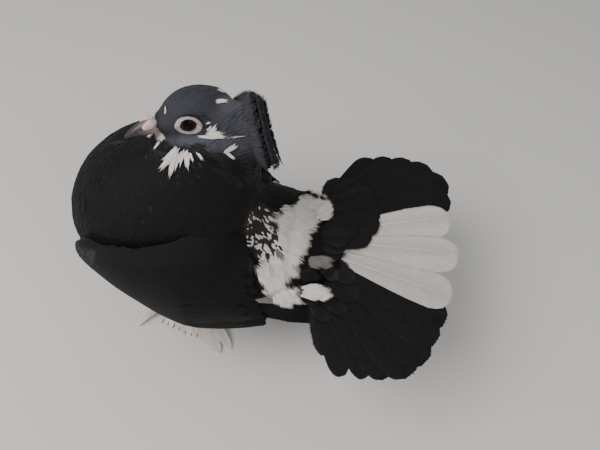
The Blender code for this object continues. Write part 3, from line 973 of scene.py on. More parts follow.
def outside(points: Array, outline: Sequence[Band]) -> Array:
    """How far plane points lie outside a closed outline, negative inside it.

    Args:
        points: Points of the plane.
        outline: The outline's corners in turn.

    Returns:
        One distance for each point.
    """
    a = np.array(outline, float)
    b = np.roll(a, -1, axis=0)
    side = b - a
    offset = points[:, None] - a[None]
    share = np.clip(np.sum(offset * side, axis=2) / np.sum(side**2, axis=1), 0, 1)
    gap = np.linalg.norm(offset - share[..., None] * side, axis=2).min(axis=1)
    x, y = points[:, :1], points[:, 1:]
    spans = (a[:, 1] > y) != (b[:, 1] > y)
    rise = np.where(side[:, 1] == 0, 1e-9, side[:, 1])
    crossings = spans & (x < side[:, 0] * (y - a[:, 1]) / rise + a[:, 0])
    return np.where(crossings.sum(axis=1) % 2 == 1, -gap, gap)


@dataclass
class Markings:
    """Where the plumage is slate, white or brown.

    The outlines of the white rump, the mottled back and the slate head are in the photo's pixels,
    because the photo shows all of them.
    """

    head: HeadFrame
    hood: Hood
    view: PhotoView
    rump: tuple[Band, ...] = (
        (284, 206), (296, 198), (318, 199), (321, 208), (311, 220), (302, 232), (300, 244), (294, 257),
        (287, 268), (281, 275), (292, 281), (296, 292), (292, 303), (284, 306), (271, 301), (263, 297),
        (261, 279), (256, 268), (256, 260), (266, 262), (272, 257), (283, 243), (281, 236), (275, 224),
        (268, 216), (273, 211),
    )
    mottled: tuple[Band, ...] = (
        (241, 222), (250, 207), (262, 204), (271, 210), (277, 223), (284, 236), (286, 243), (275, 257),
        (268, 263), (257, 262), (250, 250), (243, 235),
    )
    slate_head: tuple[Band, ...] = (
        (150, 100), (152, 128), (162, 135), (170, 143), (177, 146), (189, 149), (201, 151), (214, 152),
        (224, 151), (233, 155), (245, 160), (257, 164), (268, 163), (278, 152), (278, 113), (262, 86),
        (233, 76), (189, 74), (160, 82),
    )
    # The lowest places of the slate and of the white and mottled back, and the bands over which they begin.
    slate_floor: Band = (144, 160)
    back_floor: Band = (78, 84)

    def beyond(self, points: Array, outline: Sequence[Band]) -> Array:
        """How many pixels outside an outline places are seen in the photo."""
        return outside(self.view.project(points), outline)

    def at(self, points: Array) -> Pigments:
        """The pigments at places in millimetres.

        Args:
            points: Places in millimetres.

        Returns:
            The pigments of each place.
        """
        x, z = points[:, 0], points[:, 2]
        k, nape = self.hood.into(points), self.hood.nape(points)
        streak = wobble(points * [1.0, 1.0, 0.3], 5.0, 3.0) + 0.5 * wobble(points * [1.0, 1.0, 0.4], 2.6)
        mane = fade(nape, 1.04, 1.2) * (0.75 + 0.25 * ease(z, 160, 178)) * (1 + 0.45 * streak)
        neck = 0.3 * fade(nape, 1.1, 1.45) * ease(streak, 0.0, 0.8) * ease(x, 4, 16)
        low = ease(self.beyond(points, self.slate_head) + 2.5 * streak, -1.0, 3.0)
        slate = np.maximum(fade(self.head.skull(points) + 0.05 * streak, 1.0, 1.14), mane) * (1 - low)
        slate = np.clip(np.maximum(slate, neck) * ease(z + 5 * streak, *self.slate_floor), 0, 1)
        rim = 0.8 * fade(nape, 1.0, 1.3) * ease(k[:, 2] + 0.5 * k[:, 0], 0.6, 1.0)
        rear = 0.5 * fade(nape, 1.05, 1.3) * ease(k[:, 0] + 0.2 * streak, 0.35, 0.9)
        edge = 2.0 * wobble(points, 14.0) + 1.5 * wobble(points, 5.0, 1.0)
        above = ease(z, *self.back_floor)
        rump = fade(self.beyond(points, self.rump) + edge, -1.5, 1.5)
        patch = fade(self.beyond(points, self.mottled) + 0.5 * edge, -1.5, 1.5) * above * (1 - rump)
        pixels = self.view.project(points)
        lower = ease(pixels[:, 1] + 0.6 * pixels[:, 0], 370, 390)
        blotch = 0.6 * (0.5 + 0.5 * wobble(points, 8.0, 2.0)) * lower
        chin = fade(self.head.oval(points, (-18.5, 0.0, -9.0)), 3.0, 5.5) * 0.8
        warm = np.maximum(np.maximum(rim, rear), 0.6 * patch)
        return Pigments(np.maximum(rump * above, chin), slate, warm, patch * (0.12 + blotch))

    def tone(self, points: Array) -> Array:
        """The plumage's lightness from place to place, around one half.

        Args:
            points: Places in millimetres.

        Returns:
            One number for each place.
        """
        cheek = fade(self.head.oval(points, (2.0, 0.0, -10.0), (16.0, 30.0, 6.0)), 0.6, 1.3)
        uneven = 0.14 * wobble(points, 31.0, 5.0) + 0.08 * wobble(points, 8.0, 6.0)
        hooded = fade(self.hood.nape(points), 1.05, 1.25) * ease(self.head.into(points)[:, 0], 8, 18)
        return 0.5 + uneven + np.maximum(3.0 * cheek, 2.0 * hooded) * ease(points[:, 2], 150, 162)


# The skin


@dataclass
class Skin:
    """One closed skin for head, neck, trunk, rump and thighs, under the coat."""

    frame: dict[str, Any]
    head: HeadFrame
    hood: Hood
    voxel: float = 1.5
    overlap: float = 0.45
    smoothing: int = 5
    trunk_smoothing: int = 12
    rump_sides: int = 28
    socket: Band = (6.4, 5.0)
    socket_depth: float = 4.2
    # The trunk's lowest, highest and rearmost place.
    trunk: Spot = (62.0, 146.0, 34.0)
    # The coat's depth over the trunk, how much less it is on the skull and more on the nape, and the
    # share that the legs lose.
    depth: float = 2.1
    skull_less: float = 1.2
    nape_more: float = 0.9
    leg_loss: float = 0.55
    flesh: tuple[str, ...] = ("neck", "torso", "leg_left", "leg_right")
    # Each station of the rump: its place along the bird, half width, top and bottom.
    rump: Rows = (
        (48, 42, 108, 70), (60, 42, 103, 74), (69, 37, 97.5, 78), (78, 27, 93, 82), (86, 13, 90, 85.5),
    )

    def copy_of(self, node: str) -> Piece:
        """A merged copy of a node's solid, slightly swollen so that neighbours overlap.

        Args:
            node: The node's name.

        Returns:
            The copy.
        """
        made = outward(link("flesh_" + node, self.frame["nodes"][node].data.copy()))
        set_points(made, get_points(made) + get_normals(made) * self.overlap)
        return made

    def rump_form(self) -> Piece:
        """The low rump that the tail grows from.

        Returns:
            The rump's mesh object.
        """
        a = 2 * math.pi * np.arange(self.rump_sides) / self.rump_sides
        rings = []
        for x, half_width, top, bottom in smooth_rows(self.rump, 3):
            z = (top + bottom) / 2 + (top - bottom) / 2 * np.sin(a)
            rings.append(np.stack([np.full(len(a), x), half_width * np.cos(a), z], axis=1))
        return loft("flesh_rump", rings)

    def coat_depth(self, points: Array) -> Array:
        """How thick the coat is over the skin at each place.

        Args:
            points: Places in millimetres.

        Returns:
            One depth in millimetres for each place.
        """
        skull = fade(self.head.oval(points, (-2.0, 0, -2.5), (23.0, 15.0, 17.0)), 1.0, 1.25)
        nape = fade(self.hood.nape(points), 1.1, 1.3)
        thin = fade(points[:, 2], 30, 60)
        depth = self.depth - self.skull_less * skull + self.nape_more * nape * (1 - skull)
        return self.overlap + depth * (1 - self.leg_loss * thin)

    def dent_eyes(self, points: Array) -> Array:
        """Presses the skin in behind each eyeball, where the bare ring of skin covers it.

        Args:
            points: The skin's vertices in millimetres.

        Returns:
            The vertices pressed in.
        """
        share = fade(self.head.around_eye(points, self.socket), 0.72, 1.0)
        h = self.head.into(points)
        left, right = (self.head.eye_axes(side)[0] for side in Side)
        return self.head.out(h - (share * self.socket_depth)[:, None] * np.where(h[:, 1:2] < 0, left, right))

    def smooth(self, skin: Piece) -> None:
        """Smooths the whole skin, and the trunk some more.

        Args:
            skin: The skin.
        """
        form = bmesh.new()
        form.from_mesh(skin.data)
        low, high, rear = self.trunk
        places = design([tuple(v.co) for v in form.verts])
        inside = (places[:, 2] > low) & (places[:, 2] < high) & (places[:, 0] < rear)
        trunk = [v for v, chosen in zip(form.verts, inside) if chosen]
        axes = {"use_axis_x": True, "use_axis_y": True, "use_axis_z": True}
        for verts, rounds in ((list(form.verts), self.smoothing), (trunk, self.trunk_smoothing)):
            for _ in range(rounds):
                bmesh.ops.smooth_vert(form, verts=verts, factor=0.5, **axes)
        form.to_mesh(skin.data)
        form.free()

    def build(self) -> Piece:
        """Joins the forms, remeshes them as one skin and lays it under the coat.

        Returns:
            The skin.
        """
        forms = [self.copy_of(node) for node in self.flesh]
        forms.append(loft("flesh_head", self.head.rings(3, 40)))
        forms.append(ball("flesh_hood", self.hood.at, self.hood.size, self.hood.matrix(), 16, 28))
        forms.append(self.rump_form())
        skin = join("skin", forms)
        skin.data.materials.clear()
        remesh = skin.modifiers.new("one_skin", "REMESH")
        remesh.mode = "VOXEL"
        remesh.voxel_size = self.voxel * MM
        old, skin.data = skin.data, grown(skin)
        skin.modifiers.clear()
        bpy.data.meshes.remove(old)
        skin.data.name = skin.name
        self.smooth(skin)
        points = get_points(skin)
        set_points(skin, self.dent_eyes(points - get_normals(skin) * self.coat_depth(points)[:, None]))
        skin.data.shade_smooth()
        self.unwrap(skin)
        return skin

    def unwrap(self, skin: Piece) -> None:
        """Unwraps the skin's own shape to the map that its coat shares.

        Args:
            skin: The skin.
        """
        skin.data.uv_layers.new(name="OFBake")
        bpy.context.view_layer.objects.active = skin
        skin.select_set(True)
        bpy.ops.object.mode_set(mode="EDIT")
        bpy.ops.mesh.select_all(action="SELECT")
        bpy.ops.uv.smart_project(angle_limit=math.radians(66), island_margin=0.003)
        bpy.ops.object.mode_set(mode="OBJECT")
        skin.select_set(False)


# Templates of small feathers and barbs, one unit long


def sliver(name: str, rows: Sequence[tuple[float, float, float, float]]) -> Piece:
    """A closed three-sided blade from its root at the origin to its tip along +X.

    Args:
        name: The template's name.
        rows: For each section its distance out, half width, height of the middle and thickness.
            The last row is the tip, and only its distance and height count.

    Returns:
        The template, with the map vane running along and across it.
    """
    points, uvs = [], []
    for x, half, z, thick in rows[:-1]:
        points += [(x, -half, z), (x, half, z), (x, 0.0, z + thick)]
        uvs += [(x, 0.0), (x, 1.0), (x, 0.5)]
    points.append((rows[-1][0], 0.0, rows[-1][2]))
    uvs.append((1.0, 0.5))
    count = len(rows) - 1
    faces = [[0, 2, 1]]
    for i in range(count - 1):
        a, b = 3 * i, 3 * (i + 1)
        faces += [[a, a + 1, b + 1, b], [a + 1, a + 2, b + 2, b + 1], [a + 2, a, b, b + 2]]
    a, tip = 3 * (count - 1), 3 * count
    faces += [[a, a + 1, tip], [a + 1, a + 2, tip], [a + 2, a, tip]]
    made = raw_piece(name, points, faces)
    map_uv(made, "vane", np.array(uvs))
    return outward(made)


def splinters(name: str, rows: Sequence[tuple[Array, Array, float]]) -> Piece:
    """Many pointed three-sided barbs as one object.

    Args:
        name: The object's name.
        rows: For each barb its foot, its tip and its half width.

    Returns:
        The barbs, with the map vane running along and across the whole feather.
    """
    points, faces, uvs = [], [], []
    for foot, tip, half in rows:
        foot, tip = np.asarray(foot, float), np.asarray(tip, float)
        aside = unit(np.array([foot[1] - tip[1], tip[0] - foot[0], 0.0])) * half
        n = len(points)
        points += [foot - aside, foot + aside, foot + [0, 0, half * 0.7], tip]
        faces += [[n, n + 2, n + 1], [n, n + 1, n + 3], [n + 1, n + 2, n + 3], [n + 2, n, n + 3]]
        uvs += [(p[0], 0.5 + p[1]) for p in points[n:]]
    made = raw_piece(name, points, faces)
    map_uv(made, "vane", np.array(uvs))
    return outward(made, merge=False)


class Blade(Enum):
    """The kinds of small feather: its vane's sections, its loose barbs' starts and how far they flare."""

    CONTOUR = (
        (
            (0.0, 0.16, 0.0, 0.03), (0.3, 0.38, 0.02, 0.06), (0.62, 0.46, -0.05, 0.06),
            (0.86, 0.32, -0.16, 0.04), (0.97, 0, -0.23, 0),
        ),
        (0.12, 0.28, 0.42, 0.56, 0.7),
        1.12,
    )
    PLUSH = (
        ((0.0, 0.34, 0.0, 0.08), (0.3, 0.44, 0.05, 0.12), (0.62, 0.42, -0.12, 0.12), (0.94, 0, -0.45, 0)),
        (0.2, 0.5, 0.68),
        1.12,
    )
    WISP = (
        ((0.0, 0.1, 0.0, 0.05), (0.4, 0.19, 0.03, 0.07), (0.76, 0.16, 0.0, 0.05), (0.94, 0, -0.05, 0)),
        (0.04, 0.16, 0.28, 0.4, 0.52, 0.64),
        2.1,
    )
    HACKLE = (
        ((0.0, 0.3, 0.0, 0.06), (0.4, 0.5, 0.05, 0.1), (0.78, 0.34, 0.05, 0.06), (1.0, 0, 0.02, 0)), (),
        1.0,
    )
    MANE = (
        (
            (0.0, 0.3, 0.0, 0.1), (0.3, 0.5, -0.08, 0.14), (0.6, 0.46, -0.45, 0.12),
            (0.84, 0.3, -0.95, 0.08), (1.0, 0, -1.3, 0),
        ),
        (),
        1.0,
    )
    BARB = (((0.0, 0.5, 0.0, 0.2), (0.72, 0.42, 0.0, 0.16), (1.0, 0, -0.04, 0)), (), 1.0)
    DOWN = ((), (), 1.0)

    def down(self) -> Piece:
        """The template of a downy feather, all of it loose barbs in a half circle.

        Returns:
            The template.
        """
        draw = np.random.default_rng(5)
        rows = []
        for k in range(19):
            a = math.radians(-54 + 6 * k)
            reach = 0.74 + 0.28 * math.cos(a) + draw.uniform(-0.08, 0.06)
            foot = (0.0, 0.08 * (k - 9) / 9, 0.05 * (k % 2))
            tip = (reach * math.cos(0.8 * a), 0.7 * reach * math.sin(a), draw.uniform(-0.1, 0.08))
            rows.append((foot, tip, 0.075))
        return splinters("blade_down", rows)

    def template(self) -> Piece:
        """The blade's template object, one unit long and one wide.

        Returns:
            The template.
        """
        if self is Blade.DOWN:
            return self.down()
        sections, starts, flare = self.value
        name = "blade_" + self.name.lower()
        vane = sliver(name, sections)
        if not starts:
            return vane
        places, halves, heights = (np.array([row[c] for row in sections]) for c in range(3))
        rows = []
        for start in starts:
            end = min(0.98, start + 0.24)
            wide = float(np.interp(end, places, halves)) * flare + 0.03
            low, high = (float(np.interp(x, places, heights)) for x in (end, start))
            for side in Side:
                rows.append(((start, 0.03 * side, high + 0.06), (end + 0.02, side * wide, low - 0.01), 0.085))
        low, high = (float(np.interp(x, places, heights)) for x in (1.0, 0.74))
        rows.append(((0.7, 0.0, high + 0.05), (1.02, 0.0, low), 0.12))
        return join(name, [vane, splinters(name + "_barbs", rows)])


# Geometry Nodes that set feathers on the skin and barbs along a shaft


@dataclass
class FeatherTree(Nodes):
    """A node tree that sets one blade at each root, turned to the lie of the coat.

    With scatter it strews roots over the mesh it is given, by the attribute cover, and without it
    every vertex is a root. Both read the attributes lie, reach and breadth at each root.
    """

    name: str
    scatter: bool
    crowding: float = 2.2
    sockets: tuple[tuple[str, str, Any], ...] = (
        ("Geometry", "Geometry", None), ("Blade", "Object", None), ("Finish", "Material", None),
        ("Spacing", "Float", 0.002), ("Lift", "Float", 0.2), ("Ruffle", "Float", 0.1),
        ("Uneven", "Float", 0.2), ("Grain", "Float", 0.7), ("Depth", "Float", 0.7), ("Seed", "Int", SEED),
    )
    spares: tuple[str, ...] = ("lie", "up", "reach", "breadth", "cover", "tone", "speck")

    def named(self, name: str, kind: str = "FLOAT") -> Any:
        """A named attribute."""
        return self.add("GeometryNodeInputNamedAttribute", {"Name": name}, "Attribute", data_type=kind)

    def store(self, geometry: Any, name: str, value: Any, kind: str = "FLOAT", domain: str = "POINT") -> Any:
        """Stores a named attribute and returns the geometry."""
        inputs = {"Geometry": geometry, "Name": name, "Value": value}
        return self.add("GeometryNodeStoreNamedAttribute", inputs, "Geometry", data_type=kind, domain=domain)

    def chance(self, low: Any, high: Any, shift: int) -> Any:
        """A random number for each root."""
        seed = self.maths("ADD", self.given["Seed"], float(shift))
        return self.add("FunctionNodeRandomValue", {2: low, 3: high, "Seed": seed}, 1, data_type="FLOAT")

    def roots(self) -> Any:
        """The points that the feathers grow from, with their outward direction stored as up.

        Returns:
            The points' socket.
        """
        if not self.scatter:
            return self.add("GeometryNodeMeshToPoints", {"Mesh": self.given["Geometry"]})
        spacing = self.given["Spacing"]
        densest = self.maths("DIVIDE", self.crowding, self.maths("MULTIPLY", spacing, spacing))
        inputs = {
            "Mesh": self.given["Geometry"], "Distance Min": spacing, "Density Max": densest,
            "Density Factor": self.named("cover"), "Seed": self.given["Seed"],
        }
        points = self.add("GeometryNodeDistributePointsOnFaces", inputs, distribute_method="POISSON")
        strewn = points.node.outputs
        return self.store(strewn["Points"], "up", strewn["Normal"], "FLOAT_VECTOR")

    def pose(self) -> Any:
        """Each blade's turn: its upper side up, its tip along the lie, lifted and ruffled a little.

        Returns:
            The socket of the turns.
        """
        align = "FunctionNodeAlignRotationToVector"
        upright = self.add(align, {"Vector": self.named("up", "FLOAT_VECTOR")}, axis="Z")
        inputs = {"Rotation": upright, "Vector": self.named("lie", "FLOAT_VECTOR")}
        lying = self.add(align, inputs, axis="X", pivot_axis="Z")
        ruffle = self.given["Ruffle"]
        less = self.maths("MULTIPLY", ruffle, -1.0)
        raised = self.chance(self.maths("MULTIPLY", ruffle, -0.6), 0.0, 2)
        raised = self.maths("SUBTRACT", raised, self.given["Lift"])
        tilt = self.vector(self.chance(less, ruffle, 3), raised, self.chance(less, ruffle, 4))
        inputs = {"Rotation": lying, "Rotate By": self.add("FunctionNodeEulerToRotation", {0: tilt})}
        return self.add("FunctionNodeRotateRotation", inputs, rotation_space="LOCAL")

    def size(self) -> Any:
        """Each blade's length, width and thickness.

        Returns:
            The socket of the sizes.
        """
        uneven, breadth = self.given["Uneven"], self.named("breadth")
        factor = self.chance(self.maths("SUBTRACT", 1.0, uneven), self.maths("ADD", 1.0, uneven), 5)
        reach = self.maths("MULTIPLY", self.named("reach"), factor)
        return self.vector(reach, breadth, self.maths("MULTIPLY", breadth, self.given["Depth"]))

    def feathers(self) -> Any:
        """The blades with their pigments, map and finish.

        Returns:
            The geometry's socket.
        """
        grain = self.maths("MULTIPLY", self.chance(-0.5, 0.5, 1), self.given["Grain"])
        points = self.store(self.roots(), "shade", self.maths("ADD", self.named("tone"), grain))
        chosen = self.maths("LESS_THAN", self.chance(0.0, 1.0, 6), self.named("speck"))
        points = self.store(points, "white", self.maths("MAXIMUM", self.named("white"), chosen))
        blade = self.add("GeometryNodeObjectInfo", {"Object": self.given["Blade"]}, "Geometry")
        inputs = {"Points": points, "Instance": blade, "Rotation": self.pose(), "Scale": self.size()}
        strewn = self.add("GeometryNodeInstanceOnPoints", inputs)
        real = self.add("GeometryNodeRealizeInstances", {"Geometry": strewn})
        vane, spot = self.named("vane", "FLOAT_VECTOR"), self.named("OFBake", "FLOAT_VECTOR")
        inputs = {0: vane, 1: (PATCH, PATCH, 0.0), 2: spot}
        patch = self.add("ShaderNodeVectorMath", inputs, operation="MULTIPLY_ADD")
        real = self.store(real, "OFBake", patch, "FLOAT2", "CORNER")
        for spare in self.spares:
            real = self.add("GeometryNodeRemoveAttribute", {"Geometry": real, "Name": spare})
        return self.add("GeometryNodeSetMaterial", {"Geometry": real, "Material": self.given["Finish"]})

    def build(self) -> bpy.types.NodeTree:
        """Makes the tree with its named inputs.

        Returns:
            The tree.
        """
        self.tree = bpy.data.node_groups.new(self.name, "GeometryNodeTree")
        self.tree.interface.new_socket("Geometry", in_out="OUTPUT", socket_type="NodeSocketGeometry")
        for name, kind, value in self.sockets:
            made = self.tree.interface.new_socket(name, in_out="INPUT", socket_type="NodeSocket" + kind)
            if value is not None:
                made.default_value = value
        self.given = self.tree.nodes.new("NodeGroupInput").outputs
        self.connect(self.tree.nodes.new("NodeGroupOutput"), {0: self.feathers()})
        return self.tree


@dataclass(frozen=True)
class Growth:
    """How blades stand.

    spacing is the least distance between strewn roots in millimetres, lift and ruffle are in
    radians, uneven and grain are how much lengths and shades differ, and depth is the thickness
    for the width.
    """

    spacing: float = 2.0
    lift: float = 0.2
    ruffle: float = 0.1
    uneven: float = 0.2
    grain: float = 0.7
    depth: float = 0.7
    seed: int = SEED


@dataclass
class Feathering:
    """Runs the feather trees and counts what they make."""

    finish: Material
    blades: dict[Blade, Piece] = field(default_factory=dict)
    triangles: int = 0

    def __post_init__(self) -> None:
        """Builds both trees once."""
        self.strewn = FeatherTree("feathers_on_skin", True).build()
        self.rooted = FeatherTree("feathers_on_roots", False).build()

    def run(self, name: str, roots: Piece, blade: Blade, growth: Growth, scatter: bool = True) -> Piece:
        """Grows blades on a mesh's skin or at its vertices.

        Args:
            name: The new piece's name.
            roots: The mesh with the attributes lie, reach, breadth and, for a skin, cover.
            blade: The kind of blade.
            growth: How the blades stand.
            scatter: Whether roots are strewn over the faces.

        Returns:
            The grown coat as a plain mesh object.
        """
        if blade not in self.blades:
            self.blades[blade] = blade.template()
        step = roots.modifiers.new("grow", "NODES")
        step.node_group = self.strewn if scatter else self.rooted
        values = {key.title(): value for key, value in vars(growth).items()}
        values |= {"Blade": self.blades[blade], "Finish": self.finish, "Spacing": growth.spacing * MM}
        for item in step.node_group.interface.items_tree:
            if item.item_type == "SOCKET" and item.in_out == "INPUT" and item.name in values:
                step[item.identifier] = values[item.name]
        bpy.context.view_layer.update()
        made = link(name, grown(roots))
        made.data.name = name
        roots.modifiers.remove(step)
        count = sum(len(p.vertices) - 2 for p in made.data.polygons)
        self.triangles += count
        LOG.info("%s: %d triangles", name, count)
        return made

    def clear(self) -> None:
        """Removes the templates."""
        for template in self.blades.values():
            drop(template)
        self.blades.clear()


@dataclass
class Roots:
    """Places, directions and pigments of blades that are set one by one."""

    place: list[Array] = field(default_factory=list)
    values: dict[str, list[Array]] = field(default_factory=dict)

    def add(self, points: Array, **values: Any) -> None:
        """Adds roots in millimetres with their attributes, one row or one number for each.

        Args:
            points: The roots' places.
            **values: The value of each attribute.
        """
        points = np.atleast_2d(points)
        self.place.append(points)
        for key in ("lie", "up", "reach", "breadth", "white", "slate", "warm", "tone", "map"):
            value = np.asarray(values.get(key, 0.5 if key == "tone" else 0.0), float)
            width = {"lie": 3, "up": 3, "map": 2}.get(key, 0)
            shape = (len(points), width) if width else (len(points),)
            self.values.setdefault(key, []).append(np.broadcast_to(value, shape))

    def blade(self, foot: Array, lie: Array, out: Array, **values: Any) -> None:
        """Adds one root whose upper side turns as far outwards as its lie allows."""
        self.add(foot, lie=lie, up=unit(out - np.dot(out, lie) * lie), **values)

    def grow(self, name: str, feathering: Feathering, blade: Blade, growth: Growth) -> Piece:
        """Grows a blade at each root as one piece of that name.

        Args:
            name: The piece's name.
            feathering: What runs the feather trees.
            blade: The kind of blade.
            growth: How the blades stand.

        Returns:
            The grown piece.
        """
        bed = raw_piece(name + "_roots", place(np.concatenate(self.place)), [])
        for key, rows in self.values.items():
            values = np.concatenate(rows)
            if key == "map":
                layer = bed.data.attributes.new("OFBake", "FLOAT2", "POINT")
                layer.data.foreach_set("vector", values.astype(np.float32).ravel())
            else:
                set_values(bed, key, values * MM if key in ("reach", "breadth") else values)
        made = feathering.run(name, bed, blade, growth, scatter=False)
        drop(bed)
        return made


# Big feathers with a shaft, a web and barbs


@dataclass
class Plume:
    """One big feather: a web on its own surface, a shaft and barbs on both sides.

    surface turns shares of the length and distances across, in millimetres, into points.
    """

    surface: Surface
    length: float
    half: Band
    white: float = 0.0
    slate: float = 0.0
    warm: float = 0.0
    base: float = 0.3
    fullest: float = 0.6
    tip: float = 0.14
    start: float = 0.0
    lean: float = 0.9
    pitch: float = 0.5
    loose: float = 0.02
    split: float = 0.04
    shaft: float = 0.8
    web: float = 0.98
    roll: float = 0.15

    def outline(self, share: Array) -> Array:
        """The width at shares of the length, as a share of the full width.

        Args:
            share: Shares of the feather's length.

        Returns:
            One width for each share.
        """
        body = self.base + (1 - self.base) * ease(share, 0.0, self.fullest)
        t = np.clip((share - 1 + self.tip) / self.tip, 0.0, 1.0)
        return body * (1 - t**2.4) ** (1 / 2.4)

    def web_mesh(self, columns: int = 7, rows: int = 22) -> tuple[Array, list[list[int]], Array]:
        """The thin closed web under the barbs, as points, faces and vane map places.

        Args:
            columns: How many points lie across the web.
            rows: How many lie along it.

        Returns:
            The points, the faces and the map places.
        """
        body = np.linspace(self.start, 1 - self.tip, rows - 7, endpoint=False)
        shares = np.concatenate([body, 1 - self.tip * np.cos(np.linspace(0, math.pi / 2, 7))])
        shares[-1] = 0.995
        t = np.linspace(-1, 1, columns)
        s, t = np.meshgrid(shares, t, indexing="ij")
        width = np.where(t > 0, self.half[0], self.half[1]) * t * self.outline(s) * self.web
        top = self.surface(s.ravel(), width.ravel())
        normal = self.normal_at(s.ravel(), width.ravel())
        upper, lower = top - normal * 0.1, top - normal * 0.32
        points = np.concatenate([upper, lower])
        uv = np.stack([s.ravel(), (t.ravel() + 1) / 2], axis=1)
        n = rows * columns
        cells = grid_faces(rows, columns)
        faces = [[a, d, c, b] for a, b, c, d in cells] + [[n + v for v in cell] for cell in cells]
        grid = np.arange(n).reshape(rows, columns)
        border = np.concatenate([grid[:, 0], grid[-1, 1:], grid[-2::-1, -1], grid[0, -2:0:-1]]).tolist()
        faces += [[a, n + a, n + b, b] for a, b in zip(border, border[1:] + border[:1])]
        return points, faces, np.concatenate([uv, uv])

    def normal_at(self, share: Array, across: Array) -> Array:
        """The outward normals of the feather's surface.

        Args:
            share: Shares of the feather's length.
            across: Distances across the feather.

        Returns:
            One normal for each place.
        """
        step = 0.6 / self.length
        ahead = self.surface(share + step, across) - self.surface(share - step, across)
        aside = self.surface(share, across + 0.6) - self.surface(share, across - 0.6)
        return unit(np.cross(ahead, aside))

    def shaft_mesh(self, sides: int = 6, rows: int = 16) -> tuple[Array, list[list[int]], Array]:
        """The tapered shaft along the middle.

        Args:
            sides: How many sides the shaft has.
            rows: How many rings lie along it.

        Returns:
            The points, the faces and the vane map places.
        """
        shares = np.linspace(self.start, 0.97, rows)
        centre = self.surface(shares, np.zeros(rows))
        normal = self.normal_at(shares, np.zeros(rows))
        ahead = unit(np.gradient(centre, axis=0))
        aside = np.cross(normal, ahead)
        radius = self.shaft * (1 - 0.85 * np.linspace(0, 1, rows) ** 0.8)
        a = 2 * math.pi * np.arange(sides) / sides
        ring = aside[:, None] * np.cos(a)[None, :, None] + 0.6 * normal[:, None] * np.sin(a)[None, :, None]
        points = centre[:, None] + radius[:, None, None] * ring
        uv = np.stack([np.repeat(shares, sides), np.full(rows * sides, 0.5)], axis=1)
        return points.reshape(-1, 3), tube_faces(rows, sides), uv

    def barbs(self, roots: Roots, draw: np.random.Generator, cell: tuple[float, ...], tone: float) -> None:
        """Adds the barbs' roots.

        Args:
            roots: Where the roots are kept.
            draw: The source of chance.
            cell: The corner and size of this feather's patch of the map.
            tone: The feather's own shade.
        """
        count = max(6, int(self.length * (1 - self.start) / self.pitch))
        for side, half in ((1, self.half[0]), (-1, self.half[1])):
            ends = np.linspace(self.start + 0.01, 1.0, count)
            ends = ends + draw.normal(0, 0.12, count) * self.pitch / self.length
            wide = half * self.outline(np.clip(ends, 0, 0.9995)) * (1 + draw.normal(0, self.loose, count))
            wide = np.maximum(wide, 0.5)
            begin = ends - self.lean * wide / self.length
            begin = np.clip(begin, self.start, 0.985)
            slip = self.split * np.sin(ends * 37.0 + side * 2.0 + self.length) ** 5
            ends = ends + slip * half / self.length
            foot = self.surface(begin, np.full(count, 0.15 * side))
            head = self.surface(ends, side * wide)
            middle = self.normal_at((begin + ends) / 2, side * wide / 2)
            reach = np.linalg.norm(head - foot, axis=1)
            lie = unit(head - foot)
            flat = unit(middle - np.sum(middle * lie, axis=1)[:, None] * lie)
            up = unit(flat + self.roll * side * np.cross(lie, flat))
            aside = 0.5 + 0.4 * side * np.minimum(1, wide / half)
            roots.add(
                foot, lie=lie, up=up, reach=reach, tone=tone, breadth=self.pitch * 2.2, white=self.white,
                slate=self.slate, warm=self.warm,
                map=np.stack([cell[0] + cell[2] * np.clip(ends, 0, 1), cell[1] + cell[3] * aside], axis=1),
            )


@dataclass
class PlumeSet:
    """Many big feathers as one piece of webs and shafts and one piece of barbs."""

    name: str
    feathering: Feathering
    plumes: list[Plume] = field(default_factory=list)
    growth: Growth = Growth(lift=0.0, ruffle=0.02, uneven=0.02, grain=0.2, depth=0.32)
    shaft_white: float = 0.09
    # The margin before each feather's patch of the map, and the gap between two patches.
    margin: float = 0.004
    gap: float = 0.012

    def build(self, seed: int) -> list[Piece]:
        """Makes the piece of webs and shafts and the piece of barbs from a random seed.

        Args:
            seed: The random seed.

        Returns:
            The solid piece and the barbs.
        """
        draw = np.random.default_rng(seed)
        roots = Roots()
        points, faces, uvs, pigments, cells, count = [], [], [], [], [], 0
        across = max(1, math.ceil(math.sqrt(len(self.plumes))))
        size = 1.0 / across
        for number, plume in enumerate(self.plumes):
            corner = [row * size + self.margin for row in (number % across, number // across)]
            cell = (*corner, size - self.gap, size - self.gap)
            shade = draw.uniform(0.2, 0.8)
            plume.barbs(roots, draw, cell, shade)
            for part, paler in ((plume.web_mesh(), 0.0), (plume.shaft_mesh(), self.shaft_white)):
                points.append(part[0])
                faces += [[v + count for v in face] for face in part[1]]
                uvs.append(part[2])
                cells.append(np.array(cell[:2]) + part[2] * np.array(cell[2:]))
                row = [min(1.0, plume.white + paler), plume.slate, plume.warm, shade]
                pigments.append(np.tile(row, (len(part[0]), 1)))
                count += len(part[0])
        solid = outward(mesh_piece(self.name + "_webs", np.concatenate(points), faces), merge=False)
        map_uv(solid, "vane", np.concatenate(uvs))
        map_uv(solid, "OFBake", np.concatenate(cells))
        for key, column in zip(("white", "slate", "warm", "shade"), np.concatenate(pigments).T):
            set_values(solid, key, column)
        coated(solid, self.feathering.finish)
        growth = replace(self.growth, seed=seed)
        return [solid, roots.grow(self.name + "_barbs", self.feathering, Blade.BARB, growth)]


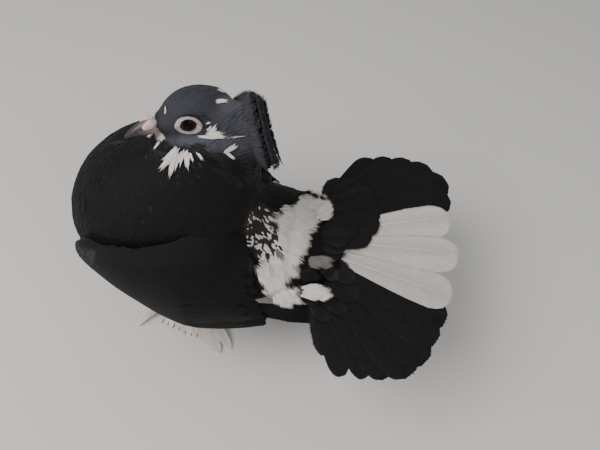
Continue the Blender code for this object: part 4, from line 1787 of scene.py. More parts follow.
def sided(side: Side, pieces: list[Piece]) -> list[Piece]:
    """Mirrors finished pieces of the left side where they are for the right one.

    Args:
        side: The side that they are for.
        pieces: Pieces of the left side.

    Returns:
        The same pieces.
    """
    if side is Side.RIGHT:
        heart = place((0.0, 0.0, 0.0))[1]
        for piece in pieces:
            piece.data.transform(Matrix.Translation((0, 2 * heart, 0)) @ Matrix.Diagonal((1, -1, 1, 1)))
            piece.data.flip_normals()
    return pieces


# The camera, which also finds places on the skin


@dataclass(frozen=True)
class PhotoView:
    """The photo's viewpoint: its place, its turns in degrees and its focal length in pixels."""

    at: Spot = (73.96, -209.82, 386.35)
    azimuth: float = -3.82
    pitch: float = 53.27
    roll: float = 3.91
    focal: float = 561.86
    width: int = 600
    height: int = 450
    sensor: float = 36.0

    def axes(self) -> tuple[Array, Array, Array]:
        """The camera's right, up and forward directions.

        Returns:
            The three directions.
        """
        az, pitch, roll = np.radians([self.azimuth, self.pitch, self.roll])
        ahead = np.array([np.sin(az) * np.cos(pitch), np.cos(az) * np.cos(pitch), -np.sin(pitch)])
        right = np.array([np.cos(az), -np.sin(az), 0.0])
        up = np.cross(right, ahead)
        return right * np.cos(roll) + up * np.sin(roll), up * np.cos(roll) - right * np.sin(roll), ahead

    def project(self, points: Array) -> Array:
        """The photo's pixels in which places in millimetres are seen.

        Args:
            points: Places in millimetres.

        Returns:
            One pixel for each place.
        """
        right, up, ahead = self.axes()
        offset = points - np.array(self.at)
        depth = offset @ ahead
        across = self.width / 2 + self.focal * (offset @ right) / depth
        return np.stack([across, self.height / 2 - self.focal * (offset @ up) / depth], axis=1)

    def ray(self, pixel: Band) -> Array:
        """The direction in which a pixel of the photo is seen.

        Args:
            pixel: A place in the photo.

        Returns:
            The direction.
        """
        right, up, ahead = self.axes()
        across = (pixel[0] - self.width / 2) / self.focal
        down = (pixel[1] - self.height / 2) / self.focal
        return unit(ahead + right * across - up * down)

    def build(self) -> Piece:
        """Makes the scene's camera.

        Returns:
            The camera.
        """
        camera = link("photo_camera", bpy.data.cameras.new("photo_camera"))
        right, up, ahead = self.axes()
        matrix = Matrix.Identity(4)
        for i, spot in enumerate(place(self.at)):
            matrix[i][0], matrix[i][1], matrix[i][2], matrix[i][3] = right[i], up[i], -ahead[i], spot
        camera.matrix_world = matrix
        camera.data.sensor_width = self.sensor
        camera.data.lens = self.focal / self.width * self.sensor
        camera.data.clip_start = 0.005
        bpy.context.scene.camera = camera
        return camera


@dataclass
class SkinFinder:
    """Finds places, normals and map places on the finished skin."""

    skin: Piece
    view: PhotoView

    def __post_init__(self) -> None:
        """Builds the search tree."""
        form = bmesh.new()
        form.from_mesh(self.skin.data)
        self.tree = BVHTree.FromBMesh(form)
        form.free()
        layer = self.skin.data.uv_layers["OFBake"].data
        self.face_uv = np.array([tuple(layer[p.loop_start].uv) for p in self.skin.data.polygons])

    def seen(self, pixel: Sequence[float]) -> tuple[Array, Array, Array] | None:
        """The skin's place, normal and map place under a pixel of the photo, if there is any."""
        hit, normal, face, _ = self.tree.ray_cast(Vector(place(self.view.at)), Vector(self.view.ray(pixel)))
        return None if hit is None else (design(tuple(hit)), np.array(normal), self.face_uv[face])


# Coats


def laid(flow: Array, normals: Array) -> Array:
    """Lays directions flat on a surface."""
    return unit(flow - np.sum(flow * normals, axis=1)[:, None] * normals)


@dataclass(frozen=True)
class Region:
    """One region's feathers: kind, length and width, how they stand, and how much they grow along it."""

    blade: Blade
    reach: float
    breadth: float
    growth: Growth
    longer: float = 0.0
    wider: float = 0.0


@dataclass
class Coat:
    """The small feathers over the whole skin, in regions of their own size and lie."""

    skin: Piece
    head: HeadFrame
    hood: Hood
    markings: Markings
    feathering: Feathering
    throat: Spot = (-6.0, 2.0, 178.0)
    kinds: tuple[tuple[str, Region], ...] = (
        ("face", Region(Blade.PLUSH, 2.9, 1.5, Growth(0.72, 0.02, 0.06, 0.2, 0.22, 0.3, 3), 1.6, 0.5)),
        ("mane", Region(Blade.MANE, 6.5, 0.6, Growth(0.62, 0.02, 0.12, 0.3, 0.6, 1.2, 4))),
        ("rump", Region(Blade.DOWN, 9.0, 6.0, Growth(1.6, 0.1, 0.14, 0.2, 0.2, 0.7, 5))),
        ("patch", Region(Blade.CONTOUR, 4.6, 2.3, Growth(1.15, 0.03, 0.2, 0.2, 0.6, 0.5, 12))),
        ("legs", Region(Blade.CONTOUR, 8.0, 4.6, Growth(2.6, 0.1, 0.12, 0.2, 0.4, 0.7, 6))),
        ("neck", Region(Blade.CONTOUR, 4.2, 2.2, Growth(1.5, -0.01, 0.06, 0.2, 0.35, 0.45, 7), 2.6, 1.8)),
        ("breast", Region(Blade.CONTOUR, 7.0, 4.4, Growth(1.9, -0.02, 0.05, 0.2, 0.35, 0.4, 8))),
        ("back", Region(Blade.CONTOUR, 7.0, 4.2, Growth(1.9, 0.01, 0.05, 0.2, 0.35, 0.4, 9))),
    )

    def from_throat(self, points: Array) -> Array:
        """How far places lie from the throat."""
        return np.linalg.norm(points - self.throat, axis=1)

    def lie(self, points: Array, normals: Array) -> Array:
        """The direction in which the coat lies at each place.

        Args:
            points: Places in millimetres.
            normals: The skin's normals there.

        Returns:
            One direction for each place.
        """
        x, z = points[:, :1], points[:, 2:]
        near = np.exp(-self.from_throat(points) / 55.0)[:, None]
        front = fade(x, -72, -42)
        body = (1 - near) * (np.array([1.0, 0.0, -0.25]) - front * np.array([0.75, 0.0, 0.9]))
        body = near * unit(points - self.throat) + body
        head = unit(self.head.into(points) - np.array([-30.0, 0.0, -3.0])) @ self.head.matrix().T
        k, turned = self.hood.into(points), self.hood.matrix()
        mane = 0.75 * (turned @ np.array([1.0, 0.0, 0.0])) + (0.9 * ease(k[:, 2:], -0.6, 0.4) - 0.35) * ABOVE
        mane = mane + 0.2 * unit(k) @ turned.T
        fan = unit((points - np.array([22.0, 0.0, 0.0])) * np.array([1.0, 1.0, 0.0])) - 0.1 * ABOVE
        flow = body
        for share, other in (
            (ease(x, 30, 44) * ease(z, 70, 78), fan),
            (fade(self.hood.nape(points), 1.0, 1.2)[:, None], mane),
            (fade(self.head.skull(points), 1.02, 1.2)[:, None], head),
            (fade(z, 44, 58), np.array([0.1, 0.0, -1.0])),
        ):
            flow = flow * (1 - share) + other * share
        return laid(flow, normals)

    def regions(self, points: Array) -> dict[str, Array]:
        """How much each region's own feathers cover each place.

        Args:
            points: Places in millimetres.

        Returns:
            One share from 0 to 1 for each place, by region.
        """
        x, z = points[:, 0], points[:, 2]
        marks = self.markings
        high, above = ease(z, 146, 152), ease(z, *marks.back_floor)
        face = fade(self.head.skull(points), 1.04, 1.1) * high
        mane = fade(self.hood.nape(points), 1.08, 1.2) * high * (1 - face)
        rump = fade(marks.beyond(points, marks.rump), 0.0, 4.0) * above
        rump = np.maximum(rump, ease(x, 60, 64))
        patch = fade(marks.beyond(points, marks.mottled), -0.5, 2.0)
        patch = patch * above * (1 - rump) * (1 - mane) * (1 - face)
        legs = fade(z, 50, 58)
        ring = fade(self.head.around_eye(points, (6.8, 5.3)), 0.84, 0.92)
        bare = np.maximum(ring, fade(self.head.oval(points, (-21.5, 0.0, -3.0)), 2.6, 3.4))
        face = face * (1 - bare)
        rest = np.clip(1.8 * (1 - face - mane - rump - patch - legs), 0, 1) * (1 - bare)
        near = fade(self.from_throat(points), 44, 50)
        front = fade(x, -12, -10)
        return {
            "face": face, "mane": mane, "rump": rump, "patch": patch, "legs": legs, "neck": rest * near,
            "breast": rest * (1 - near) * front, "back": rest * (1 - near) * (1 - front),
        }

    def build(self) -> list[Piece]:
        """Stores the lie and the pigments on the skin and grows every region.

        Returns:
            The coat's pieces.
        """
        points = get_points(self.skin)
        stored = {"lie": self.lie(points, get_normals(self.skin)), **vars(self.markings.at(points))}
        stored["tone"] = self.markings.tone(points)
        cover = self.regions(points)
        along = {
            "face": ease(self.head.into(points)[:, 0], -16, 12),
            "neck": ease(self.from_throat(points), 14, 50),
        }
        for key, values in stored.items():
            set_values(self.skin, key, values)
        pieces = []
        for name, kind in self.kinds:
            share = along.get(name, np.zeros(len(points)))
            set_values(self.skin, "cover", cover[name])
            set_values(self.skin, "reach", (kind.reach + kind.longer * share) * MM)
            set_values(self.skin, "breadth", (kind.breadth + kind.wider * share) * MM)
            pieces.append(self.feathering.run("coat_" + name, self.skin, kind.blade, kind.growth))
        for spare in ("cover", "reach", "breadth", "lie", "tone", "speck"):
            self.skin.data.attributes.remove(self.skin.data.attributes[spare])
        return pieces


@dataclass(frozen=True)
class Tuft:
    """A few pale feathers, from where their roots are seen in the photo to where their tips are."""

    root: Band
    tip: Band
    count: int
    spread: float = 1.3
    breadth: float = 0.55
    white: float = 1.0
    slate: float = 0.6


@dataclass
class Flecks:
    """The white feathers scattered over head, throat and back."""

    finder: SkinFinder
    feathering: Feathering
    farthest_step: float = 9.0
    longest: float = 16.0
    per_count: int = 3
    growth: Growth = Growth(lift=0.04, grain=0.2, depth=0.4)
    tufts: tuple[Tuft, ...] = (
        Tuft((177, 147), (164, 166), 12, 1.5, 1.5), Tuft((179, 149), (171, 171), 11, 1.2, 1.5),
        Tuft((176, 150), (165, 159), 6, 1.0, 1.2), Tuft((187, 151), (187, 166), 11, 1.3, 1.4),
        Tuft((184, 150), (181, 163), 6, 1.0, 1.2), Tuft((190, 152), (193, 160), 4, 0.8, 0.9),
        Tuft((197, 152), (202, 159), 4, 0.7, 0.7), Tuft((197, 136), (212, 137), 5, 0.6, 0.9),
        Tuft((208, 136), (224, 136), 9, 1.0, 1.1), Tuft((209, 136), (216, 127), 10, 1.5, 1.1),
        Tuft((206, 134), (221, 133), 9, 1.4, 1.1), Tuft((205, 124), (210, 121), 3, 0.6, 0.8),
        Tuft((207, 130), (212, 126), 4, 0.8, 0.8), Tuft((226, 138), (240, 136), 3, 0.7, 0.5, 0.6),
        Tuft((225, 153), (236, 145), 8, 1.1, 1.1), Tuft((226, 152), (234, 157), 5, 1.0, 1.0),
        Tuft((217, 89), (225, 94), 5, 1.0, 0.9), Tuft((216, 102), (226, 101), 7, 0.9, 1.0),
        Tuft((168, 93), (176, 88), 5, 0.9), Tuft((166, 114), (167, 107), 3, 0.5),
        Tuft((156, 134), (169, 130), 4, 0.5, 0.6), Tuft((148, 137), (159, 140), 5, 0.7, 0.8),
        Tuft((160, 142), (155, 149), 5, 0.8, 0.9), Tuft((150, 121), (147, 115), 3, 0.5),
        Tuft((127, 141), (112, 145), 5, 1.5, 0.45, 0.12, 0.8), Tuft((251, 223), (241, 219), 6, 0.8, 1.1),
        Tuft((249, 118), (260, 128), 6, 2.5, 0.35, 0.3, 1.0),
        Tuft((246, 126), (264, 122), 6, 2.5, 0.35, 0.3, 1.0),
    )

    def build(self) -> Piece:
        """Sets every tuft on the skin, laid flat where the skin under its tip isn't near.

        Returns:
            The piece.
        """
        draw = np.random.default_rng(17)
        beds = {Blade.WISP: Roots(), Blade.HACKLE: Roots()}
        eye = np.array(self.finder.view.at)
        for tuft in self.tufts:
            roots = beds[Blade.WISP if tuft.breadth > 0.6 else Blade.HACKLE]
            for _ in range(self.per_count * tuft.count):
                start = np.array(tuft.root) + draw.normal(0, tuft.spread, 2)
                end = np.array(tuft.tip) + draw.normal(0, 0.8 * tuft.spread, 2)
                under, beyond = self.finder.seen(start), self.finder.seen(end)
                if under is None:
                    continue
                root, normal, spot = under
                foot = root + 0.5 * normal
                level = eye + self.finder.view.ray(end) * float(np.linalg.norm(foot - eye))
                tip = level - np.dot(level - foot, normal) * normal
                if beyond is not None:
                    hit = beyond[0] + 0.8 * normal
                    tip = hit if np.linalg.norm(hit - level) < self.farthest_step else tip
                lie = tip - foot
                length = min(self.longest, float(np.linalg.norm(lie))) * draw.uniform(0.6, 1.0)
                foot = foot + lie * draw.uniform(0.0, 0.3)
                lie = lie / max(1e-6, np.linalg.norm(lie))
                roots.blade(
                    foot, lie, normal, reach=length, breadth=tuft.breadth, white=tuft.white, slate=tuft.slate,
                    tone=0.55, map=spot,
                )
        pieces = [roots.grow("flecks", self.feathering, blade, self.growth) for blade, roots in beds.items()]
        return join("white_flecks", pieces)


# Head parts


@dataclass
class Eye:
    """An eyeball, and the bare ring of skin with its lids round it."""

    head: HeadFrame
    side: Side
    opening: Band = (3.85, 4.2)
    ring: Band = (6.6, 5.2)
    corner: float = 0.09
    gaze: float = 17.0
    around: int = 96
    # Rows from the lid's hidden inner edge over its rim to the outer edge and back inside: share of
    # the way from the opening to the ring, share of the skull's height, and height over that.
    rows: tuple[Spot, ...] = (
        (-0.08, 0, -0.9), (0.0, 0, 0.06), (0.08, 0, 0.26), (0.2, 0.12, 0.32), (0.35, 0.4, 0.3),
        (0.52, 0.7, 0.24), (0.7, 0.9, 0.18), (0.88, 1.0, 0.04), (1.0, 1.0, -0.3), (1.06, 1.0, -1.5),
        (0.5, 0.5, -2.6),
    )

    def ball(self, name: str, finish: Material) -> Piece:
        """The eyeball, with the angle from the pupil's middle on each vertex.

        Args:
            name: The piece's name.
            finish: The piece's finish.

        Returns:
            The eyeball.
        """
        axis, ahead, up = self.head.eye_axes(self.side)
        matrix = self.head.matrix() @ np.stack([ahead, up, axis], axis=1)
        centre = self.head.out(self.head.eye_centre(self.side))
        made = outward(ball(name, centre, np.full(3, self.head.eye_radius), matrix, 40, 48))
        offset = unit(self.head.into(get_points(made)) - self.head.eye_centre(self.side))
        gaze = unit(axis + math.tan(math.radians(self.gaze)) * up)
        set_values(made, "polar", np.arccos(np.clip(offset @ gaze, -1, 1)))
        return coated(made, finish)

    def lids(self, name: str, finish: Material) -> Piece:
        """The fleshy ring, from its inner edge on the eyeball to its outer edge in the feathers.

        Args:
            name: The piece's name.
            finish: The piece's finish.

        Returns:
            The ring.
        """
        axis, ahead, up = self.head.eye_axes(self.side)
        centre = self.head.eye_centre(self.side)
        rings = []
        a = 2 * math.pi * np.arange(self.around) / self.around
        pinch = self.corner * np.cos(2 * a) ** 9 * (np.abs(np.cos(a)) > 0.7)
        inner = np.hypot(self.opening[0] * (1 + pinch) * np.cos(a), self.opening[1] * np.sin(a))
        cornea = np.sqrt(np.maximum(self.head.eye_radius**2 - inner**2, 1.0))
        for share, on_skull, over in self.rows:
            wide, tall = (low + (high - low) * share for low, high in zip(self.opening, self.ring))
            swell = 1 + pinch * (1 - 0.5 * share)
            high = tall * np.sin(a) - self.head.ring_drop * min(1.0, max(0.0, share))
            flat = centre + ahead * (wide * swell * np.cos(a))[:, None] + up * high[:, None]
            skull = self.head.flank(flat[:, 0], flat[:, 2]) - abs(centre[1])
            fold = 0.1 * np.sin(19 * a + 3 * np.sin(3 * a)) * (0 < share < 1) * math.sin(math.pi * share)
            rings.append(flat + axis * (cornea * (1 - on_skull) + skull * on_skull + over + fold)[:, None])
        faces = grid_faces(len(self.rows), self.around, True, True)
        return coated(outward(mesh_piece(name, self.head.out(np.concatenate(rings)), faces)), finish)


@dataclass
class Bill:
    """Both mandibles and the two waxy lobes of the cere."""

    head: HeadFrame
    base: float = -19.5
    length: float = 16.8
    half_width: float = 4.1
    top: float = 0.5
    mouth: float = -4.9
    hook: float = 1.2
    lower_depth: float = 2.8
    gap: float = 0.25
    splay: float = 14.0
    lower_reach: float = 0.92
    steps: int = 40
    sides: int = 30
    # The right nostril's slit and the right lobe of the cere: middle and half sizes in the head's frame.
    slit_at: Spot = (-26.3, 3.1, -1.9)
    slit: Spot = (1.7, 0.5, 0.4)
    lobe_at: Spot = (-22.5, 1.9, -1.4)
    lobe: Spot = (4.5, 2.1, 2.6)

    def mouth_height(self, share: Array) -> Array:
        """The mouth line's height along the bill."""
        return self.mouth - 0.8 * share**2 - self.hook * share**8

    def mandible(self, name: str, upper: bool, finish: Material) -> Piece:
        """One half of the bill, from inside the feathers to its tip.

        Args:
            name: The piece's name.
            upper: Whether it is the upper half.
            finish: The piece's finish.

        Returns:
            The half.
        """
        shares = 1 - (1 - np.linspace(0, 1, self.steps)) ** 1.5
        reach = 1.0 if upper else self.lower_reach
        tip = self.mouth_height(1.0) + 0.5
        a = math.pi * np.arange(self.sides + 1) / self.sides
        flank, ridge = np.sign(np.cos(a)) * np.abs(np.cos(a)) ** 0.85, np.sin(a) ** 1.15
        rings = []
        for s in shares:
            mouth = self.mouth_height(s * reach)
            half = self.half_width * math.sqrt(max(0.0, 1 - s**2.4)) * (1 - 0.3 * s) + 0.3 * s
            if upper:
                outer = tip + (self.top - tip) * (1 - s**2.4)
                mouth = mouth - 0.05
            else:
                mouth = mouth - self.gap
                outer = mouth - 0.35 - (self.lower_depth - 0.4) * (1 - s**2.6)
            x = np.full(self.sides + 1, self.base - self.length * s * reach)
            rings.append(np.stack([x, half * flank, mouth + (outer - mouth) * ridge], axis=1))
        made = loft(name, [self.head.out(ring) for ring in rings])
        x = self.head.into(get_points(made))[:, 0]
        set_values(made, "tip", np.clip((self.base - x) / self.length, 0, 1))
        return coated(made, finish)

    def nostrils(self, name: str, finish: Material) -> Piece:
        """The dark slits under the cere's lobes.

        Args:
            name: The piece's name.
            finish: The piece's finish.

        Returns:
            The slits as one piece.
        """
        slits = []
        for side in Side:
            matrix = self.head.matrix() @ turn(self.splay * side, "Z")
            slits.append(ball("slit", self.head.out(on_side(self.slit_at, side)), self.slit, matrix, 8, 14))
        return coated(join(name, slits), finish, tip=1.0)

    def cere(self, name: str, finish: Material) -> Piece:
        """The two powdery swellings over the nostrils.

        Args:
            name: The piece's name.
            finish: The piece's finish.

        Returns:
            The swellings as one piece.
        """
        lobes = []
        for side in Side:
            matrix = self.head.matrix() @ turn(-self.splay * side, "Z")
            centre = self.head.out(on_side(self.lobe_at, side))
            lobe = ball("lobe", centre, self.lobe, matrix, 20, 32)
            normals = get_normals(lobe)
            local = (get_points(lobe) - centre) @ matrix
            ahead = np.maximum(np.clip(-local[:, 0] / 4.6, -1, 1), 0)
            local[:, 1] *= 1 - 0.3 * ahead
            local[:, 2] = local[:, 2] * (1 - 0.34 * ahead) - 0.9 * ahead**2
            points = centre + local @ matrix.T
            set_points(lobe, points + normals * (0.16 * wobble(points, 3.2, side))[:, None])
            lobes.append(lobe)
        return coated(join(name, lobes), finish)


# Tail


@dataclass
class Tail:
    """The spread tail feathers and the coverts over their roots."""

    fan: TailFan
    feathering: Feathering
    start: float = 12.0
    white: Band = (0.63, 1.0)
    black: Band = (0.0, 0.08)
    # Each covert: angle, start, reach, half width, lift over the fan, white, brown.
    coverts: Rows = (
        (57, 28, 64, 10, 1.6, 0, 0), (48, 27, 71, 12, 2.0, 0, 0), (38, 25, 74, 13, 2.4, 0, 0),
        (28, 23, 72, 13, 2.8, 0, 0), (18, 21, 68, 12, 3.2, 0, 0), (8, 20, 61, 11, 2.8, 0, 0),
        (-3, 20, 45, 9, 3.2, 0, 0.1), (-13, 20, 43, 8, 2.4, 0, 0.15), (-27, 20, 58, 8, 1.8, 0, 0),
        (-36, 20, 66, 10, 1.6, 0, 0), (-46, 20, 68, 10, 1.6, 0, 0), (-56, 20, 66, 10, 1.4, 0, 0),
        (-63.5, 20, 84, 6.5, -0.3, 0, 0), (43, 30, 56, 10, 3.8, 0, 0), (30, 28, 58, 11, 4.2, 0, 0),
        (17, 26, 53, 10, 4.4, 0, 0), (5, 26, 46, 9, 4.4, 0, 0), (-35, 22, 49, 6, 3.6, 0.0, 0.2),
        (-60, 20, 54, 8, 3.0, 0.0, 0.0),
    )
    # Each downy tuft: root and tip in plan, how far it spreads, feathers, white, brown.
    tufts: Rows = (
        (60, -27, 77, -31, 3.5, 12, 0, 0.05), (65, -19, 83, -19.5, 3.2, 22, 0.38, 1.0),
        (66, -40, 85, -39, 4.0, 30, 1, 0), (54, -42, 64, -53, 5.0, 26, 1, 0),
        (67, 17, 80, 25.5, 5.0, 34, 1, 0), (60, 20, 73, 27, 4.0, 16, 1, 0),
    )

    def surface(self, angle: float, start: float, reach: float, order: float, lift: float) -> Surface:
        """The surface of one feather of the fan.

        Args:
            angle: The feather's angle from the middle line.
            start: Where its root lies, from the fan's centre.
            reach: Where its tip lies.
            order: Its order outwards from the middle feather.
            lift: Its height over the tail feathers.

        Returns:
            Points for shares of the length and distances across it.
        """
        a, side = math.radians(angle), angle / 60
        tip = self.fan.root[:2] + reach * np.array([math.cos(a), math.sin(a)])
        root = self.fan.root[:2] + np.array([start + 4.0 * abs(side), 12.0 * side])
        along = unit(tip - root)
        across = np.array([-along[1], along[0]])

        def point(share: Array, aside: Array) -> Array:
            """A point of the feather, which is crowned along and across it.

            Args:
                share: Shares of the feather's length.
                aside: Distances across the feather.

            Returns:
                One point for each share.
            """
            plan = root + (tip - root) * share[:, None] + across * aside[:, None]
            crown = -0.012 * aside**2 / 2 + 1.2 * np.sin(math.pi * np.clip(share, 0, 1))
            high = self.fan.height(plan, order, lift) + crown * 0.6
            return np.concatenate([plan, high[:, None]], axis=1)

        return point

    def build(self) -> list[Piece]:
        """Makes the tail feathers and their coverts.

        Returns:
            The tail's pieces.
        """
        plumes = []
        for (angle, reach, far, near), order in self.fan.feathers():
            white, warm = self.white if order < 2 and abs(angle) < 20 else self.black
            plumes.append(Plume(
                self.surface(angle, self.start, reach, order, 0.0), reach - self.start, (far, near),
                white=white, warm=warm, base=0.16, fullest=0.9, tip=0.15, pitch=0.42,
                split=0.16 if angle < -45 else 0.03,
            ))
        for angle, start, reach, half, lift, white, warm in self.coverts:
            surface = self.surface(angle, start, reach, float(self.fan.order_at(angle)), lift)
            plumes.append(Plume(
                surface, reach - start, (half, half), white=white, slate=0.06, warm=warm + 0.1, tip=0.34,
                pitch=0.45, loose=0.05, split=0.1, shaft=0.2, web=0.9,
            ))
        return PlumeSet("tail", self.feathering, plumes).build(31) + [self.down()]

    def down(self) -> Piece:
        """The downy tufts over the coverts' roots.

        Returns:
            The piece.
        """
        draw = np.random.default_rng(33)
        roots = Roots()
        for x0, y0, x1, y1, spread, number, white, warm in self.tufts:
            root, tip = np.array([x0, y0]), np.array([x1, y1])
            along, length = unit(tip - root), float(np.linalg.norm(tip - root))
            for _ in range(int(number)):
                reach = 0.55 * length * draw.uniform(0.8, 1.1)
                out = draw.uniform(0, max(0.1, length - reach))
                aside = draw.normal(0, 0.5 * spread)
                plan = root + along * out + np.array([-along[1], along[0]]) * aside
                high = float(self.fan.height(plan[None], 0.0, 5.0)[0]) - 0.08 * abs(aside)
                high += draw.uniform(-0.6, 0.6)
                lie = unit(np.array([*(along + draw.normal(0, 0.12, 2)), -0.12]))
                roots.blade(
                    np.array([*plan, high]), lie, ABOVE, reach=reach, breadth=5.5, white=white, warm=warm,
                    map=(0.1 + (x0 - 50) / 40, 0.5 + y0 / 120),
                )
        growth = Growth(ruffle=0.12, grain=0.3, depth=0.5, seed=34)
        return roots.grow("tail_down", self.feathering, Blade.DOWN, growth)


# Wings


@dataclass
class Wing:
    """One folded wing: its flesh, flight feathers and coverts."""

    face: WingFace
    feathering: Feathering
    side: Side
    primary_tips: tuple[float, ...] = (70, 80, 90, 99, 107, 113, 118, 121)
    core_end: float = 36.0
    coat_sink: float = 4.9
    coat_slope: Band = (-8.0, 24.0)
    secondaries: int = 11
    primary_root: float = 28.0
    secondary_root: float = -16.0
    # Each tier: feathers, its shares of the face from and to, where they begin and end, and their depth.
    covert_tiers: Rows = (
        (11, 0.06, 0.95, -44.0, 7.0, 5.0), (12, 0.06, 0.93, -52.0, -14.0, 4.1),
        (12, 0.06, 0.92, -60.0, -32.0, 3.3), (11, 0.08, 0.92, -66.0, -46.0, 2.7),
        (9, 0.1, 0.9, -70.0, -56.0, 2.3),
    )

    def surface(self, root: Band, tip: Band, depth: float, pitch: float) -> Surface:
        """The surface of one feather on the wing's face, its lower edge raised over the next.

        Args:
            root: Its root's place along the wing and share of the way down the face.
            tip: Its tip's.
            depth: How far it lies under the face.
            pitch: The distance to the next feather.

        Returns:
            Points for shares of the length and distances across it.
        """

        def point(share: Array, aside: Array) -> Array:
            """A point of the feather, whose root sinks into the flesh.

            Args:
                share: Shares of the feather's length.
                aside: Distances across the feather.

            Returns:
                One point for each share.
            """
            x, v = (root[i] + (tip[i] - root[i]) * share for i in (0, 1))
            low = v - aside / self.face.height(x)
            sink = np.maximum(0.0, self.face.sink(x) + 1.0 - depth) * np.clip(1 - share / 0.3, 0, 1) ** 2
            lift = -0.9 * aside / pitch - (depth + sink) * self.face.spread(low)
            return self.face.point(x, low, lift)

        return point

    def strew(self, name: str, bed: Piece, growth: Growth, **values: Any) -> Piece:
        """Strews small feathers over a bed and removes the bed.

        Args:
            name: The new piece's name, without the side.
            bed: The mesh under the feathers.
            growth: How they stand.
            **values: The bed's attributes, where they aren't 0.

        Returns:
            The grown piece.
        """
        count = len(bed.data.vertices)
        for key in ("lie", "cover", "reach", "breadth", "tone", "slate", "white", "warm"):
            value = np.asarray(values.get(key, 0.0), float)
            set_values(bed, key, value if value.ndim else np.full(count, float(value)))
        made = self.feathering.run(f"{name}_{self.side.word}", bed, Blade.CONTOUR, growth)
        drop(bed)
        return made

    def fine_coat(self) -> Piece:
        """The smallest coverts, strewn over the front of the wing so that it looks smooth.

        Returns:
            The piece.
        """
        xs, vs = np.linspace(-69, 36, 72), np.linspace(-0.06, 0.97, 42)
        x, v = (grid.ravel() for grid in np.meshgrid(xs, vs, indexing="ij"))
        sink = 0.4 + self.coat_sink * ease(x, *self.coat_slope)
        points = self.face.point(x, v, -sink * self.face.spread(v))
        bed = mesh_piece("bed", points, grid_faces(len(xs), len(vs)))
        if bed.data.polygons[0].normal.y > 0:
            bed.data.flip_normals()
        map_uv(bed, "OFBake", np.stack([(x + 70) / 130, v], axis=1))
        front = fade(x, -66, -50)
        # Painted light in the tone: the band along the wing's top edge is a painted highlight from the light
        # above, and the darkening towards the lower edge is painted shade; the wobble varies it at random.
        top_edge_highlight = ease(0.16 - v, 0.0, 0.1) * ease(x, -60, -50) * fade(x, 0, 20)
        grey = fade(np.hypot(x + 64, (v - 0.25) * 34), 4, 12) * ease(wobble(points, 3.0), 0.0, 0.3)
        return self.strew(
            "wing_coat", bed, Growth(1.5, 0.0, 0.05, grain=0.35, depth=0.4, seed=90 + self.side),
            lie=unit(self.face.point(x + 1.0, v) - self.face.point(x, v)),
            cover=fade(x + 4 * wobble(points, 9.0), 29, 31), reach=(6.6 - 2.6 * front) * MM,
            breadth=(3.8 - 1.6 * front - 1.0 * ease(v, 0.6, 0.86)) * MM, slate=0.9 * grey,
            tone=0.4 + 1.6 * top_edge_highlight - 0.8 * ease(v, 0.25, 0.6) + 0.2 * wobble(points, 19.0),
        )

    def bend_streaks(self) -> Piece:
        """The fine pale streaks that fan out over the bend of the wing.

        Returns:
            The piece.
        """
        draw = np.random.default_rng(97)
        roots = Roots()
        for share in np.linspace(0, 1, 13):
            start = np.array([-50.5 + 0.5 * draw.normal(), 0.02 + 0.05 * share])
            end = start + np.array([-13.0 + 6.5 * share, 0.06 + 0.3 * share]) * draw.uniform(0.8, 1.05)
            root, tip = self.face.point(*start, 0.1), self.face.point(*end, 0.2)
            out = unit(self.face.point(*start, 1.0) - self.face.point(*start, 0.0))
            roots.blade(
                root, unit(tip - root), out, reach=float(np.linalg.norm(tip - root)), breadth=0.3, white=0.28,
                slate=1.0, map=((start[0] + 70) / 130, start[1]),
            )
        growth = Growth(lift=0.02, ruffle=0.06, seed=98)
        return roots.grow("bend_streaks_" + self.side.word, self.feathering, Blade.HACKLE, growth)

    def core(self, name: str) -> Piece:
        """The wing's flesh under its feathers.

        Args:
            name: The piece's name.

        Returns:
            The flesh's mesh object.
        """
        shares = np.linspace(0, 1, 20)
        rings = []
        for x in np.linspace(self.face.stations[0][0], self.core_end, 30):
            sink = (self.face.sink(x) + 0.4) * self.face.spread(shares)
            outer, inner = self.face.point(x, shares, -sink), self.face.point(x, shares, -self.face.depth)
            rings.append(np.concatenate([outer, inner[::-1]]))
        return loft(name, rings)

    def lining(self) -> Piece:
        """The small feathers over the wing's front end and the side of it that faces the body.

        Returns:
            The piece.
        """
        bed = self.core("lining_bed")
        points, normals = get_points(bed), get_normals(bed)
        inner = ease(normals[:, 1], -0.3, 0.1) * fade(points[:, 0], 0, 12)
        front = fade(points[:, 0], -69.5, -68)
        flow = np.array([1.0, 0.0, -0.3]) - front[:, None] * np.array([0.7, 0.0, 0.7])
        map_uv(bed, "OFBake", np.stack([(points[:, 0] + 70) / 130, points[:, 2] / 140], axis=1))
        return self.strew(
            "wing_lining", bed, Growth(2.4, 0.0, 0.06, grain=0.35, depth=0.4, seed=95 + self.side),
            lie=laid(flow, normals), cover=np.maximum(inner, front), reach=(6.4 - 3.0 * front) * MM,
            breadth=(3.8 - 1.6 * front) * MM, tone=0.4,
        )

